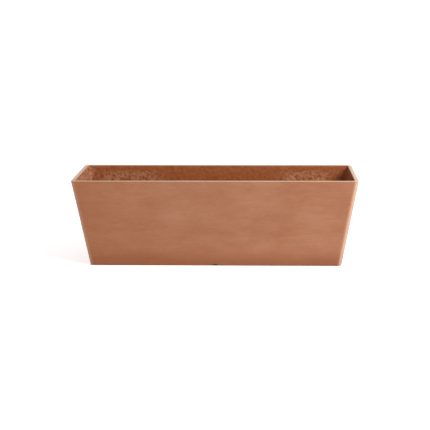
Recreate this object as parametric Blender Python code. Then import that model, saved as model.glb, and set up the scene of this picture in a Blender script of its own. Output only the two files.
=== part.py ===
"""A self-watering trough planter, built as an assembly.

The tapered trough stands on a foot ring. A lift-out insert divides it in two: a deck on pillars
carries the soil, and the water stands below it. Soil baskets hang from the deck into the water,
a shaft with a flip lid takes the refill, and a float gauge shows the level. A standpipe in the
floor lets surplus water out under the trough, where it leaves by two weep notches, and a rubber
plug closes the standpipe for use indoors. The deck's end, which holds the shaft and the gauge, is a
piece of its own.

The origin is the middle of the footprint, at the level of the ground. X runs along the trough,
the front faces -Y, and Z is up. All sizes are in metres.
"""

import math

import bmesh
import bpy
from mathutils import Matrix, Vector

MM = 0.001

# The trough.
LENGTH = 600 * MM
DEPTH = 190 * MM
HEIGHT = 190 * MM
LEAN = 29.5 * MM  # how far each wall leans in from the rim to the ground
WALL = 8.5 * MM
FLOOR = 8 * MM
CORNER_AT_RIM = 10.5 * MM
CORNER_AT_BASE = 13 * MM
INNER_CORNER = 5 * MM
RIM_ROUND = 1.4 * MM
BASE_ROUND = 3 * MM
FLOOR_ROUND = 6 * MM
FOOT_HEIGHT = 6 * MM
FOOT_WIDTH = 12 * MM
FOOT_ROUND = 0.8 * MM
NOTCH_WIDTH = 11 * MM
NOTCH_HEIGHT = 3.4 * MM

# Gaps between pieces.
SEAT_GAP = 0.3 * MM  # between two pieces that touch
RUNNING_GAP = 0.5 * MM  # around a piece that slides or turns
DECK_GAP = 2 * MM  # between the deck's edge and the trough

# The deck.
DECK_ABOVE_FLOOR = 48 * MM  # from the trough's floor to the deck's top face
DECK_PLATE = 3 * MM
DECK_SKIRT = 10 * MM
DECK_SKIRT_WALL = 2.5 * MM
DECK_EDGE_ROUND = 1.5 * MM
DECK_LAP = 3 * MM  # how far the deck's end reaches over the deck at the seam
SLOT_WIDTH = 4 * MM
SLOT_LENGTH = 15 * MM
SLOT_PITCH_X = 10 * MM
SLOT_PITCH_Y = 21 * MM
SLOT_MARGIN = 3 * MM  # material left between a slot and anything else

# The soil baskets. Their number is odd, so that the drain in the middle stays free.
BASKETS = 3
BASKET_LENGTH = 76 * MM
BASKET_WIDTH = 70 * MM
BASKET_DRAFT = 7 * MM  # how far each side leans in from the deck to the basket's floor
BASKET_WALL = 2 * MM
BASKET_CORNER = 9 * MM
BASKET_OFF_FLOOR = 2 * MM
FLANGE_WIDTH = 4 * MM
FLANGE_THICK = 2 * MM
BASKET_SLOT = 3 * MM
BASKET_SLOTS_LONG = 5
BASKET_SLOTS_SHORT = 4
BASKET_SLOT_PITCH = 11 * MM
BASKET_SLOT_MARGIN = 7 * MM  # solid band above and below the slots

# The pillars that carry the deck.
PILLAR_RADIUS_TOP = 7 * MM
PILLAR_RADIUS_FOOT = 9 * MM
PILLAR_WALL = 2 * MM
PILLAR_SPIGOT = 4 * MM
PILLAR_SPREAD = 24 * MM  # from the trough's middle line to a pillar
PILLAR_OFF_WALL = 1 * MM  # from the far pillars to the rounding of the trough's floor
PILLAR_END_MARGIN = 4 * MM  # from a basket's flange to the far pillars

# The fill shaft and its lid.
SHAFT = 36 * MM
SHAFT_WALL = 2 * MM
SHAFT_CORNER = 5 * MM
SHAFT_BELOW_RIM = 26 * MM
SHAFT_TO_END = 11 * MM  # from the shaft to the trough's end wall, at the deck
SHAFT_TO_FRONT = 11 * MM
OUTLET_WIDTH = 12 * MM
OUTLET_HEIGHT = 8 * MM
LID_THICK = 2.5 * MM
LID_OVERHANG = 1.2 * MM
LID_LIP = 3 * MM
LID_LIP_WALL = 1.5 * MM
LID_LIP_GAP = 0.8 * MM
LID_TAB_LENGTH = 6 * MM
LID_TAB_WIDTH = 14 * MM
KNUCKLE_RADIUS = 3.5 * MM
HINGE_REACH = 5.6 * MM  # from the shaft's wall to the hinge's axis
LID_KNUCKLE_WIDTH = 18 * MM
EAR_WIDTH = 5 * MM
PIN_RADIUS = 1.5 * MM

# The float gauge.
GAUGE_RADIUS = 14 * MM
GAUGE_WALL = 2 * MM
GAUGE_BEHIND_SHAFT = 14 * MM
GAUGE_BELOW_RIM = 30 * MM
GAUGE_CAP_PLATE = 2.5 * MM
DOME_RADIUS = 12.5 * MM
DOME_WALL = 1.6 * MM
DOME_SKIRT = 7 * MM
DOME_HEADROOM = 2 * MM
FLOAT_HEIGHT = 14 * MM
FLOAT_DRAUGHT = 4 * MM  # how deep the float sits in the water
ROD_RADIUS = 1.5 * MM
ROD_GUIDE_GAP = 0.6 * MM
FLAG_RADIUS = 7 * MM
FLAG_HEIGHT = 8 * MM

# The drain, in the middle of the floor.
AIR_SPACE = 12 * MM  # from the highest water level to the deck's plate
STANDPIPE_RADIUS = 9 * MM
STANDPIPE_WALL = 2 * MM
STANDPIPE_COLLAR = 3 * MM
COLLAR_THICK = 2 * MM
GROMMET_WALL = 2.5 * MM
GROMMET_FLANGE = 4 * MM
GROMMET_LIP = 1.8 * MM
PLUG_STEM = 9 * MM
PLUG_FLANGE = 2 * MM
PLUG_FLANGE_THICK = 1.8 * MM
PLUG_TAB = 6 * MM

# How finely curves are divided.
ARC_STEPS = 5
EDGE_STEPS = 3
ROUND_STEPS = 24
SMALL_ROUND_STEPS = 16

# What follows from the sizes above.
BASE_HALF_X = LENGTH / 2 - LEAN
BASE_HALF_Y = DEPTH / 2 - LEAN
FLOOR_TOP = FOOT_HEIGHT + FLOOR
DECK_TOP = FLOOR_TOP + DECK_ABOVE_FLOOR
DECK_UNDER = DECK_TOP - DECK_PLATE
DECK_LOW = DECK_TOP - DECK_SKIRT
DECK_CUT_LOW = DECK_UNDER - DECK_PLATE  # where what cuts through the deck starts
DECK_CUT_HIGH = DECK_TOP + DECK_PLATE
FLANGE_TOP = DECK_TOP + SEAT_GAP + FLANGE_THICK
WATER_TOP = DECK_UNDER - AIR_SPACE


def outer_offset(z):
    """How far the trough's outside stands out from its outline on the ground, at height z."""
    return LEAN * z / HEIGHT


def inner_offset(z):
    """The same for its inside."""
    return outer_offset(z) - WALL


DECK_HALF_X = BASE_HALF_X + inner_offset(DECK_LOW) - DECK_GAP
DECK_HALF_Y = BASE_HALF_Y + inner_offset(DECK_LOW) - DECK_GAP
FLOOR_END_X = BASE_HALF_X + inner_offset(FLOOR_TOP) - FLOOR_ROUND
FAR_PILLAR_X = -FLOOR_END_X + PILLAR_OFF_WALL + PILLAR_RADIUS_FOOT
FAR_FLANGE_X = FAR_PILLAR_X + PILLAR_RADIUS_TOP + PILLAR_END_MARGIN
FAR_BASKET_X = FAR_FLANGE_X + FLANGE_WIDTH + BASKET_LENGTH / 2
BAY = -FAR_BASKET_X / (BASKETS / 2)
BASKET_XS = [BAY * (i - BASKETS / 2) for i in range(BASKETS)]
SHAFT_X = BASE_HALF_X + inner_offset(DECK_LOW) - SHAFT_TO_END - SHAFT / 2
SHAFT_Y = -(BASE_HALF_Y + inner_offset(DECK_LOW) - SHAFT_TO_FRONT - SHAFT / 2)
DECK_SEAM_X = SHAFT_X - SHAFT / 2 - FLANGE_WIDTH - SLOT_MARGIN
SHAFT_TOP = HEIGHT - SHAFT_BELOW_RIM
HINGE_X = SHAFT_X + SHAFT / 2 + HINGE_REACH
HINGE_Z = SHAFT_TOP + SEAT_GAP
GAUGE_X = SHAFT_X
GAUGE_Y = SHAFT_Y + SHAFT / 2 + GAUGE_BEHIND_SHAFT + GAUGE_RADIUS
FLOAT_TRAVEL = WATER_TOP - FLOAT_DRAUGHT - FLOOR_TOP - RUNNING_GAP
FLAG_LOW = HEIGHT - GAUGE_BELOW_RIM - DOME_WALL - DOME_HEADROOM - FLOAT_TRAVEL - FLAG_HEIGHT
GAUGE_TOP = FLAG_LOW - RUNNING_GAP
GROMMET_BORE = STANDPIPE_RADIUS + SEAT_GAP
DRAIN_RADIUS = GROMMET_BORE + GROMMET_WALL + SEAT_GAP


# Shapes.


def clear_scene():
    """Takes every object out of the file."""
    for obj in list(bpy.data.objects):
        bpy.data.objects.remove(obj, do_unlink=True)


def finish_of(name, colour, roughness, metallic=0.0, alpha=1.0):
    """A Principled material."""
    made = bpy.data.materials.new(name)
    made.use_nodes = True
    shader = made.node_tree.nodes["Principled BSDF"]
    shader.inputs["Base Color"].default_value = (*colour, 1.0)
    shader.inputs["Roughness"].default_value = roughness
    shader.inputs["Metallic"].default_value = metallic
    shader.inputs["Alpha"].default_value = alpha
    made.diffuse_color = (*colour, alpha)
    return made


def new_object(name, mesh_data, finish=None, parent=None, at=(0, 0, 0)):
    """Links an object made from a bmesh. Without a finish it is a helper that is never shown."""
    mesh = bpy.data.meshes.new(name)
    if mesh_data.calc_volume(signed=True) < 0:
        bmesh.ops.reverse_faces(mesh_data, faces=mesh_data.faces)
    mesh_data.to_mesh(mesh)
    mesh_data.free()
    mesh.shade_smooth()
    mesh.set_sharp_from_angle(angle=math.radians(35))
    obj = bpy.data.objects.new(name, mesh)
    bpy.context.scene.collection.objects.link(obj)
    obj.parent = parent
    obj.location = at
    if finish is None:
        obj.hide_render = True
        obj.display_type = "WIRE"
    else:
        mesh.materials.append(finish)
    return obj


def empty(name, at, parent=None):
    """An empty that carries the pieces of one body."""
    obj = bpy.data.objects.new(name, None)
    bpy.context.scene.collection.objects.link(obj)
    obj.parent = parent
    obj.location = at
    return obj


def rounded_rectangle(half_x, half_y, radius, steps=ARC_STEPS):
    """The outline of a rectangle with round corners, anticlockwise from its right side."""
    points = []
    for quarter, (sx, sy) in enumerate(((1, 1), (-1, 1), (-1, -1), (1, -1))):
        for step in range(steps + 1):
            angle = math.pi / 2 * (quarter + step / steps)
            points.append(
                (
                    sx * (half_x - radius) + radius * math.cos(angle),
                    sy * (half_y - radius) + radius * math.sin(angle),
                )
            )
    return points


def soften(corners, closed=False, steps=EDGE_STEPS):
    """A profile with each corner (a, b, radius) turned into an arc of that radius."""
    count = len(corners)
    points = []
    for i, (a, b, radius) in enumerate(corners):
        here = Vector((a, b))
        if radius <= 0 or (not closed and i in (0, count - 1)):
            points.append((a, b))
            continue
        before = (Vector(corners[i - 1][:2]) - here).normalized()
        after = (Vector(corners[(i + 1) % count][:2]) - here).normalized()
        half = before.angle(after) / 2
        middle = here + (before + after).normalized() * (radius / math.sin(half))
        start = here + before * (radius / math.tan(half)) - middle
        end = here + after * (radius / math.tan(half)) - middle
        for step in range(steps + 1):
            spoke = start.lerp(end, step / steps).normalized() * radius
            points.append(tuple(middle + spoke))
    return points


def skin(rings, closed=False):
    """A solid whose surface runs through loops of (outline, z), in order.

    Closed joins the last loop to the first, as in a tube. Otherwise both ends are capped.
    """
    mesh = bmesh.new()
    loops = [[mesh.verts.new((x, y, z)) for x, y in outline] for outline, z in rings]
    pairs = list(zip(loops, loops[1:]))
    if closed:
        pairs.append((loops[-1], loops[0]))
    for first, second in pairs:
        for i in range(len(first)):
            mesh.faces.new((first[i - 1], first[i], second[i], second[i - 1]))
    if not closed:
        mesh.faces.new(reversed(loops[0]))
        mesh.faces.new(loops[-1])
    return mesh


def turned(profile, steps=ROUND_STEPS):
    """A solid turned about Z from a closed profile of (radius, z) points."""
    mesh = bmesh.new()
    verts = [mesh.verts.new((r, 0, z)) for r, z in profile]
    edges = [mesh.edges.new((verts[i - 1], verts[i])) for i in range(len(verts))]
    bmesh.ops.spin(
        mesh,
        geom=verts + edges,
        cent=(0, 0, 0),
        axis=(0, 0, 1),
        angle=math.tau,
        steps=steps,
        use_merge=True,
    )
    bmesh.ops.remove_doubles(mesh, verts=mesh.verts, dist=1e-6)
    on_axis = [e for e in mesh.edges if all(v.co.xy.length < 1e-6 for v in e.verts)]
    bmesh.ops.delete(mesh, geom=on_axis, context="EDGES")
    return mesh


def add_block(mesh, low, high):
    """Adds a box between two corners to a bmesh."""
    low, high = Vector(low), Vector(high)
    size = high - low
    place = Matrix.Translation((low + high) / 2) @ Matrix.Diagonal((*size, 1))
    bmesh.ops.create_cube(mesh, size=1, matrix=place)


def blocks(boxes):
    """A bmesh of boxes, each given by its two corners."""
    mesh = bmesh.new()
    for low, high in boxes:
        add_block(mesh, low, high)
    return mesh


def prism(outline, low, high, turn=Matrix.Identity(4)):
    """An outline raised from low to high, then turned."""
    mesh = skin([(outline, low), (outline, high)])
    bmesh.ops.transform(mesh, matrix=turn, verts=mesh.verts)
    return mesh


def circle(radius, steps, middle=(0, 0)):
    """The outline of a circle."""
    turns = (math.tau * i / steps for i in range(steps))
    return [(middle[0] + radius * math.cos(t), middle[1] + radius * math.sin(t)) for t in turns]


def boolean(target, tool_mesh, operation, name):
    """Cuts a helper shape from a piece, or joins it on. The helper stands in the piece's frame."""
    tool = new_object(f"{target.name}_{name}", tool_mesh, parent=target)
    modifier = target.modifiers.new(name, "BOOLEAN")
    modifier.operation = operation
    modifier.solver = "EXACT"
    modifier.object = tool


def cut(target, tool_mesh, name):
    """Cuts a helper shape from a piece."""
    boolean(target, tool_mesh, "DIFFERENCE", name)


def join(target, tool_mesh, name):
    """Joins a helper shape to a piece."""
    boolean(target, tool_mesh, "UNION", name)


# Along Y: an outline drawn in X and Z is raised along Y.
ALONG_Y = Matrix.Rotation(math.pi / 2, 4, "X")


# The trough.


def trough_corner(offset, z):
    """The radius of the trough's corners on a loop that stands out by offset at height z."""
    outside = CORNER_AT_BASE + (CORNER_AT_RIM - CORNER_AT_BASE) * z / HEIGHT
    return max(INNER_CORNER, outside - (outer_offset(z) - offset))


def trough_loop(offset, z):
    """The loop round the trough, or round a piece that follows it, at height z."""
    radius = trough_corner(offset, z)
    return rounded_rectangle(BASE_HALF_X + offset, BASE_HALF_Y + offset, radius), z


def planter_shell(finish, parent):
    """The tapered trough, with its foot ring, weep notches and drain hole."""
    profile = soften(
        [
            (-FOOT_WIDTH, FOOT_HEIGHT, 0),
            (-FOOT_WIDTH, 0, FOOT_ROUND),
            (0, 0, BASE_ROUND),
            (outer_offset(HEIGHT), HEIGHT, RIM_ROUND),
            (inner_offset(HEIGHT), HEIGHT, RIM_ROUND),
            (inner_offset(FLOOR_TOP), FLOOR_TOP, FLOOR_ROUND),
            (inner_offset(FLOOR_TOP) - 2 * FLOOR_ROUND, FLOOR_TOP, 0),
        ]
    )
    shell = new_object("planter_shell", skin([trough_loop(*p) for p in profile]), finish, parent)
    half, past = NOTCH_WIDTH / 2, FOOT_WIDTH / 2
    near, far = BASE_HALF_Y - FOOT_WIDTH - past, BASE_HALF_Y + past
    front = ((-half, -far, -past), (half, -near, NOTCH_HEIGHT))
    back = ((-half, near, -past), (half, far, NOTCH_HEIGHT))
    cut(shell, blocks([front, back]), "weep_notches")
    drain = prism(circle(DRAIN_RADIUS, ROUND_STEPS), FOOT_HEIGHT - FLOOR, FLOOR_TOP + FLOOR)
    cut(shell, drain, "drain_hole")
    return shell


# The drain.


def drain_grommet(finish, parent):
    """The rubber bush that seals the standpipe in the floor."""
    outer = GROMMET_BORE + GROMMET_WALL
    wide = outer + GROMMET_FLANGE
    low, high = FOOT_HEIGHT - SEAT_GAP, FLOOR_TOP + SEAT_GAP
    profile = soften(
        [
            (GROMMET_BORE, low - GROMMET_LIP, 0),
            (wide, low - GROMMET_LIP, GROMMET_LIP / 3),
            (wide, low, 0),
            (outer, low, 0),
            (outer, high, 0),
            (wide, high, 0),
            (wide, high + GROMMET_LIP, GROMMET_LIP / 3),
            (GROMMET_BORE, high + GROMMET_LIP, 0),
        ],
        closed=True,
    )
    return new_object("drain_grommet", turned(profile), finish, parent)


def overflow_standpipe(finish, parent):
    """The pipe that fixes the highest water level. Its collar rests on the grommet."""
    bore = STANDPIPE_RADIUS - STANDPIPE_WALL
    low = FOOT_HEIGHT - SEAT_GAP - GROMMET_LIP
    collar = FLOOR_TOP + SEAT_GAP + GROMMET_LIP + SEAT_GAP
    wide = STANDPIPE_RADIUS + STANDPIPE_COLLAR
    profile = soften(
        [
            (bore, low, 0),
            (STANDPIPE_RADIUS, low, 0),
            (STANDPIPE_RADIUS, collar, 0),
            (wide, collar, 0),
            (wide, collar + COLLAR_THICK, 0),
            (STANDPIPE_RADIUS, collar + COLLAR_THICK, 0),
            (STANDPIPE_RADIUS, WATER_TOP, STANDPIPE_WALL / 4),
            (bore, WATER_TOP, STANDPIPE_WALL / 4),
        ],
        closed=True,
    )
    return new_object("overflow_standpipe", turned(profile), finish, parent)


def drain_plug(finish, parent):
    """The rubber plug under the standpipe, with a tab to pull it by."""
    under = FOOT_HEIGHT - SEAT_GAP - GROMMET_LIP - SEAT_GAP
    stem = STANDPIPE_RADIUS - STANDPIPE_WALL - SEAT_GAP
    wide = STANDPIPE_RADIUS + PLUG_FLANGE
    low = under - PLUG_FLANGE_THICK
    profile = soften(
        [
            (0, low, 0),
            (wide, low, PLUG_FLANGE_THICK / 4),
            (wide, under, PLUG_FLANGE_THICK / 4),
            (stem, under, 0),
            (stem, under + PLUG_STEM, stem / 4),
            (0, under + PLUG_STEM, 0),
        ]
    )
    plug = new_object("drain_plug", turned(profile), finish, parent)
    tab = rounded_rectangle(wide / 2 + PLUG_TAB / 2, PLUG_TAB / 2, PLUG_TAB / 3, EDGE_STEPS)
    tab = [(x + wide / 2 + PLUG_TAB / 2, y) for x, y in tab]
    inset = PLUG_FLANGE_THICK / 6
    join(plug, prism(tab, low + inset, under - inset), "pull_tab")
    return plug


# The insert.


def deck_holes():
    """(middle x, middle y, half length, half width) of what fills the deck, and of its seam."""
    basket = [
        (x, 0, BASKET_LENGTH / 2 + FLANGE_WIDTH, BASKET_WIDTH / 2 + FLANGE_WIDTH) for x in BASKET_XS
    ]
    shaft_half = SHAFT / 2 + FLANGE_WIDTH
    gauge_half = GAUGE_RADIUS + FLANGE_WIDTH
    pillars = [(x, y, PILLAR_RADIUS_TOP, PILLAR_RADIUS_TOP) for x, y in PILLARS]
    return [
        *basket,
        (SHAFT_X, SHAFT_Y, shaft_half, shaft_half),
        (GAUGE_X, GAUGE_Y, gauge_half, gauge_half),
        (DECK_SEAM_X, 0, SEAT_GAP / 2, DECK_HALF_Y),
        *pillars,
    ]


def pillar_places():
    """Where the pillars stand: in pairs, at the far end and beside the first and last baskets."""
    columns = (FAR_PILLAR_X, BASKET_XS[0] + BAY / 2, BASKET_XS[-1] + BAY / 2)
    return [(x, side * PILLAR_SPREAD) for x in columns for side in (-1, 1)]


PILLARS = pillar_places()


def slot_places():
    """The middles of the deck's air slots: a grid, without those that would meet something."""
    places = []
    filled = deck_holes()
    reach_x = DECK_HALF_X - DECK_SKIRT_WALL - SLOT_MARGIN - SLOT_WIDTH / 2
    reach_y = DECK_HALF_Y - DECK_SKIRT_WALL - SLOT_MARGIN - SLOT_LENGTH / 2
    columns = int(reach_x / SLOT_PITCH_X)
    rows = int(reach_y / SLOT_PITCH_Y)
    for i in range(-columns, columns + 1):
        for j in range(-rows, rows + 1):
            x, y = i * SLOT_PITCH_X, j * SLOT_PITCH_Y
            free = all(
                abs(x - fx) > hx + SLOT_WIDTH / 2 + SLOT_MARGIN
                or abs(y - fy) > hy + SLOT_LENGTH / 2 + SLOT_MARGIN
                for fx, fy, hx, hy in filled
            )
            if free:
                places.append((x, y))
    return places


def deck_piece(name, finish, parent, side):
    """A plate with a skirt and air slots, up to the seam from one side: 1 is the shaft's."""
    edge = inner_offset(DECK_TOP) - DECK_GAP
    low = inner_offset(DECK_LOW) - DECK_GAP
    profile = soften(
        [
            (edge - 3 * DECK_EDGE_ROUND, DECK_TOP, 0),
            (edge, DECK_TOP, DECK_EDGE_ROUND),
            (low, DECK_LOW, 0),
            (low - DECK_SKIRT_WALL, DECK_LOW, 0),
            (low - DECK_SKIRT_WALL, DECK_UNDER, 0),
        ]
    )
    deck = new_object(name, skin([trough_loop(*p) for p in profile]), finish, parent)
    near, far = sorted((DECK_SEAM_X + side * SEAT_GAP / 2, -side * LENGTH))
    cut(deck, blocks([((near, -DEPTH, 0), (far, DEPTH, HEIGHT))]), "seam")
    slots = [
        (
            (x - SLOT_WIDTH / 2, y - SLOT_LENGTH / 2, DECK_CUT_LOW),
            (x + SLOT_WIDTH / 2, y + SLOT_LENGTH / 2, DECK_CUT_HIGH),
        )
        for x, y in slot_places()
        if side * (x - DECK_SEAM_X) > 0
    ]
    if slots:
        cut(deck, blocks(slots), "air_slots")
    return deck


def reservoir_deck(finish, parent):
    """The false floor, with holes for the soil baskets and for the pillars' spigots."""
    deck = deck_piece("reservoir_deck", finish, parent, -1)
    for i, x in enumerate(BASKET_XS):
        outline = basket_outline(DECK_TOP, -SEAT_GAP)
        hole = prism([(x + a, b) for a, b in outline], DECK_CUT_LOW, DECK_CUT_HIGH)
        cut(deck, hole, f"basket_hole_{i + 1}")
    for i, place in enumerate(PILLARS):
        spigot = circle(PILLAR_SPIGOT + SEAT_GAP, SMALL_ROUND_STEPS, place)
        cut(deck, prism(spigot, DECK_CUT_LOW, DECK_CUT_HIGH), f"spigot_hole_{i + 1}")
    return deck


def deck_end(finish, parent):
    """The deck's end, a push fit on the shaft and the gauge. It laps over the deck at the seam."""
    end = deck_piece("deck_end", finish, parent, 1)
    half = SHAFT / 2 + SEAT_GAP
    outline = [
        (SHAFT_X + a, SHAFT_Y + b)
        for a, b in rounded_rectangle(half, half, SHAFT_CORNER + SEAT_GAP)
    ]
    cut(end, prism(outline, DECK_CUT_LOW, DECK_CUT_HIGH), "shaft_hole")
    gauge = circle(GAUGE_RADIUS + SEAT_GAP, ROUND_STEPS, (GAUGE_X, GAUGE_Y))
    cut(end, prism(gauge, DECK_CUT_LOW, DECK_CUT_HIGH), "gauge_hole")
    root, tip = DECK_SEAM_X + SEAT_GAP, DECK_SEAM_X - DECK_LAP
    middle = DECK_TOP - DECK_PLATE / 2
    lap = [
        (root, middle),
        (root + FLANGE_THICK, middle),
        (root + FLANGE_THICK, FLANGE_TOP),
        (tip, FLANGE_TOP),
        (tip, DECK_TOP + SEAT_GAP),
        (root, DECK_TOP + SEAT_GAP),
    ]
    reach = DECK_HALF_Y - DECK_SKIRT_WALL
    join(end, prism(lap, -reach, reach, ALONG_Y), "lap")
    return end


BASKET_LOW = FLOOR_TOP + BASKET_OFF_FLOOR


def basket_outline(z, inset):
    """The loop of a basket's wall at height z, set in from its outside."""
    lean = BASKET_DRAFT * (DECK_TOP - z) / (DECK_TOP - BASKET_LOW)
    half_x = BASKET_LENGTH / 2 - lean - inset
    half_y = BASKET_WIDTH / 2 - lean - inset
    return rounded_rectangle(half_x, half_y, BASKET_CORNER - inset)


def slot_row(count, pitch):
    """The middles of a row of slots about zero."""
    return [(i - (count - 1) / 2) * pitch for i in range(count)]


def wick_basket(name, finish, parent, x):
    """A basket of soil that stands in the water. Its flange rests on the deck."""
    seat = DECK_TOP + SEAT_GAP
    stations = [
        (BASKET_LOW, 0),
        (seat, 0),
        (seat, -FLANGE_WIDTH),
        (FLANGE_TOP, -FLANGE_WIDTH),
        (FLANGE_TOP, BASKET_WALL),
        (BASKET_LOW + BASKET_WALL, BASKET_WALL),
    ]
    rings = [(basket_outline(z, inset), z) for z, inset in stations]
    basket = new_object(name, skin(rings), finish, parent, (x, 0, 0))
    low, high = BASKET_LOW + BASKET_SLOT_MARGIN, DECK_UNDER - BASKET_SLOT_MARGIN
    half = BASKET_SLOT / 2
    far = BASKET_LENGTH
    across = [
        ((a - half, -far, low), (a + half, far, high))
        for a in slot_row(BASKET_SLOTS_LONG, BASKET_SLOT_PITCH)
    ]
    along = [
        ((-far, b - half, low), (far, b + half, high))
        for b in slot_row(BASKET_SLOTS_SHORT, BASKET_SLOT_PITCH)
    ]
    reach = BASKET_WIDTH / 2 - BASKET_DRAFT - BASKET_CORNER
    below, above = BASKET_LOW - BASKET_WALL, BASKET_LOW + 2 * BASKET_WALL
    under = [
        ((a - half, -reach, below), (a + half, reach, above))
        for a in slot_row(BASKET_SLOTS_SHORT, BASKET_SLOT_PITCH)
    ]
    cut(basket, blocks(across), "side_slots")
    cut(basket, blocks(along), "end_slots")
    cut(basket, blocks(under), "floor_slots")
    return basket


def deck_pillar(name, finish, parent, place):
    """A hollow leg under the deck, with a spigot up into it."""
    low, shoulder = FLOOR_TOP + SEAT_GAP, DECK_UNDER - SEAT_GAP
    profile = [
        (0, shoulder - PILLAR_WALL),
        (PILLAR_RADIUS_TOP - PILLAR_WALL, shoulder - PILLAR_WALL),
        (PILLAR_RADIUS_FOOT - PILLAR_WALL, low),
        (PILLAR_RADIUS_FOOT, low),
        (PILLAR_RADIUS_TOP, shoulder),
        (PILLAR_SPIGOT, shoulder),
        (PILLAR_SPIGOT, DECK_TOP),
        (0, DECK_TOP),
    ]
    mesh = turned(profile, SMALL_ROUND_STEPS)
    return new_object(name, mesh, finish, parent, (*place, 0))


def shaft_loop(inset):
    """A loop of the fill shaft, set in from its outside."""
    half = SHAFT / 2 - inset
    return rounded_rectangle(half, half, SHAFT_CORNER - inset)


def fill_shaft(finish, parent):
    """The square shaft that takes the refill, with outlets at its foot and ears for the lid."""
    low, seat = FLOOR_TOP + SEAT_GAP, DECK_TOP + SEAT_GAP
    stations = [
        (0, low),
        (0, seat),
        (-FLANGE_WIDTH, seat),
        (-FLANGE_WIDTH, FLANGE_TOP),
        (0, FLANGE_TOP),
        (0, SHAFT_TOP),
        (SHAFT_WALL, SHAFT_TOP),
        (SHAFT_WALL, low),
    ]
    rings = [(shaft_loop(inset), z) for inset, z in stations]
    shaft = new_object("fill_shaft", skin(rings, closed=True), finish, parent, (SHAFT_X, SHAFT_Y, 0))
    half, far = OUTLET_WIDTH / 2, SHAFT
    outlet_low, outlet_high = low - OUTLET_HEIGHT, low + OUTLET_HEIGHT
    cut(shaft, blocks([((-half, -far, outlet_low), (half, far, outlet_high))]), "outlets_across")
    cut(shaft, blocks([((-far, -half, outlet_low), (far, half, outlet_high))]), "outlets_along")
    ear_middle = LID_KNUCKLE_WIDTH / 2 + RUNNING_GAP + EAR_WIDTH / 2
    root = SHAFT / 2 - SHAFT_WALL / 2
    for side in (-1, 1):
        outline = knuckle_outline(root, -KNUCKLE_RADIUS, -RUNNING_GAP)
        ear = prism(outline, -EAR_WIDTH / 2, EAR_WIDTH / 2, ALONG_Y)
        place = Matrix.Translation((0, side * ear_middle, HINGE_Z))
        bmesh.ops.transform(ear, matrix=place, verts=ear.verts)
        join(shaft, ear, "ear_front" if side < 0 else "ear_back")
    cut(shaft, pin_bore(SHAFT / 2 + HINGE_REACH, HINGE_Z, SEAT_GAP), "pin_bore")
    return shaft


def knuckle_outline(root, web_low, web_high):
    """A hinge knuckle in X and Z about the axis height: a round eye with a web back to root."""
    axis = SHAFT / 2 + HINGE_REACH
    start, end = math.asin(web_low / KNUCKLE_RADIUS), math.asin(web_high / KNUCKLE_RADIUS)
    first, last = -math.pi - start, math.pi - end
    steps = SMALL_ROUND_STEPS
    turns = [first + (last - first) * i / steps for i in range(steps + 1)]
    eye = [(axis + KNUCKLE_RADIUS * math.cos(t), KNUCKLE_RADIUS * math.sin(t)) for t in turns]
    return [(root, web_high), (root, web_low), *eye]


def pin_bore(x, z, gap):
    """A bore for the hinge pin, along Y."""
    reach = LID_KNUCKLE_WIDTH / 2 + 2 * EAR_WIDTH
    mesh = prism(circle(PIN_RADIUS + gap, SMALL_ROUND_STEPS), -reach, reach, ALONG_Y)
    bmesh.ops.transform(mesh, matrix=Matrix.Translation((x, 0, z)), verts=mesh.verts)
    return mesh


def lid_pin(finish, parent):
    """The steel pin through the ears and the lid's knuckle."""
    reach = LID_KNUCKLE_WIDTH / 2 + RUNNING_GAP + EAR_WIDTH
    mesh = prism(circle(PIN_RADIUS, SMALL_ROUND_STEPS), -reach, reach, ALONG_Y)
    return new_object("lid_pin", mesh, finish, parent, (HINGE_X, SHAFT_Y, HINGE_Z))


def fill_lid(finish, parent):
    """The flip lid. Its origin is on the hinge's axis, and a lip under it enters the shaft."""
    half = SHAFT / 2 + LID_OVERHANG
    lip = LID_OVERHANG + SHAFT_WALL + LID_LIP_GAP
    corner = SHAFT_CORNER + LID_OVERHANG
    profile = soften(
        [
            (3 * LID_THICK / 2, LID_THICK, 0),
            (0, LID_THICK, LID_THICK / 3),
            (0, 0, LID_THICK / 6),
            (lip, 0, 0),
            (lip, -LID_LIP, LID_LIP_WALL / 4),
            (lip + LID_LIP_WALL, -LID_LIP, LID_LIP_WALL / 4),
            (lip + LID_LIP_WALL, 0, 0),
        ]
    )
    back = -SHAFT / 2 - HINGE_REACH
    rings = []
    for inset, z in profile:
        outline = rounded_rectangle(half - inset, half - inset, max(corner - inset, LID_LIP_GAP))
        rings.append(([(back + a, b) for a, b in outline], z + SEAT_GAP))
    lid = new_object("fill_lid", skin(rings), finish, parent)
    tab_x = back - half - LID_TAB_LENGTH / 2
    tab = rounded_rectangle(LID_TAB_LENGTH, LID_TAB_WIDTH / 2, LID_TAB_LENGTH / 2, EDGE_STEPS)
    tab = [(tab_x + LID_TAB_LENGTH / 2 + a, b) for a, b in tab]
    inset = LID_THICK / 6
    join(lid, prism(tab, SEAT_GAP + inset, SEAT_GAP + LID_THICK - inset), "finger_tab")
    web = knuckle_outline(SHAFT / 2 - LID_THICK, SEAT_GAP + inset, SEAT_GAP + LID_THICK - inset)
    web = [(a - SHAFT / 2 - HINGE_REACH, b) for a, b in web]
    half_knuckle = LID_KNUCKLE_WIDTH / 2
    join(lid, prism(web, -half_knuckle, half_knuckle, ALONG_Y), "knuckle")
    cut(lid, pin_bore(0, 0, RUNNING_GAP), "pin_bore")
    return lid


# The gauge.


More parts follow.
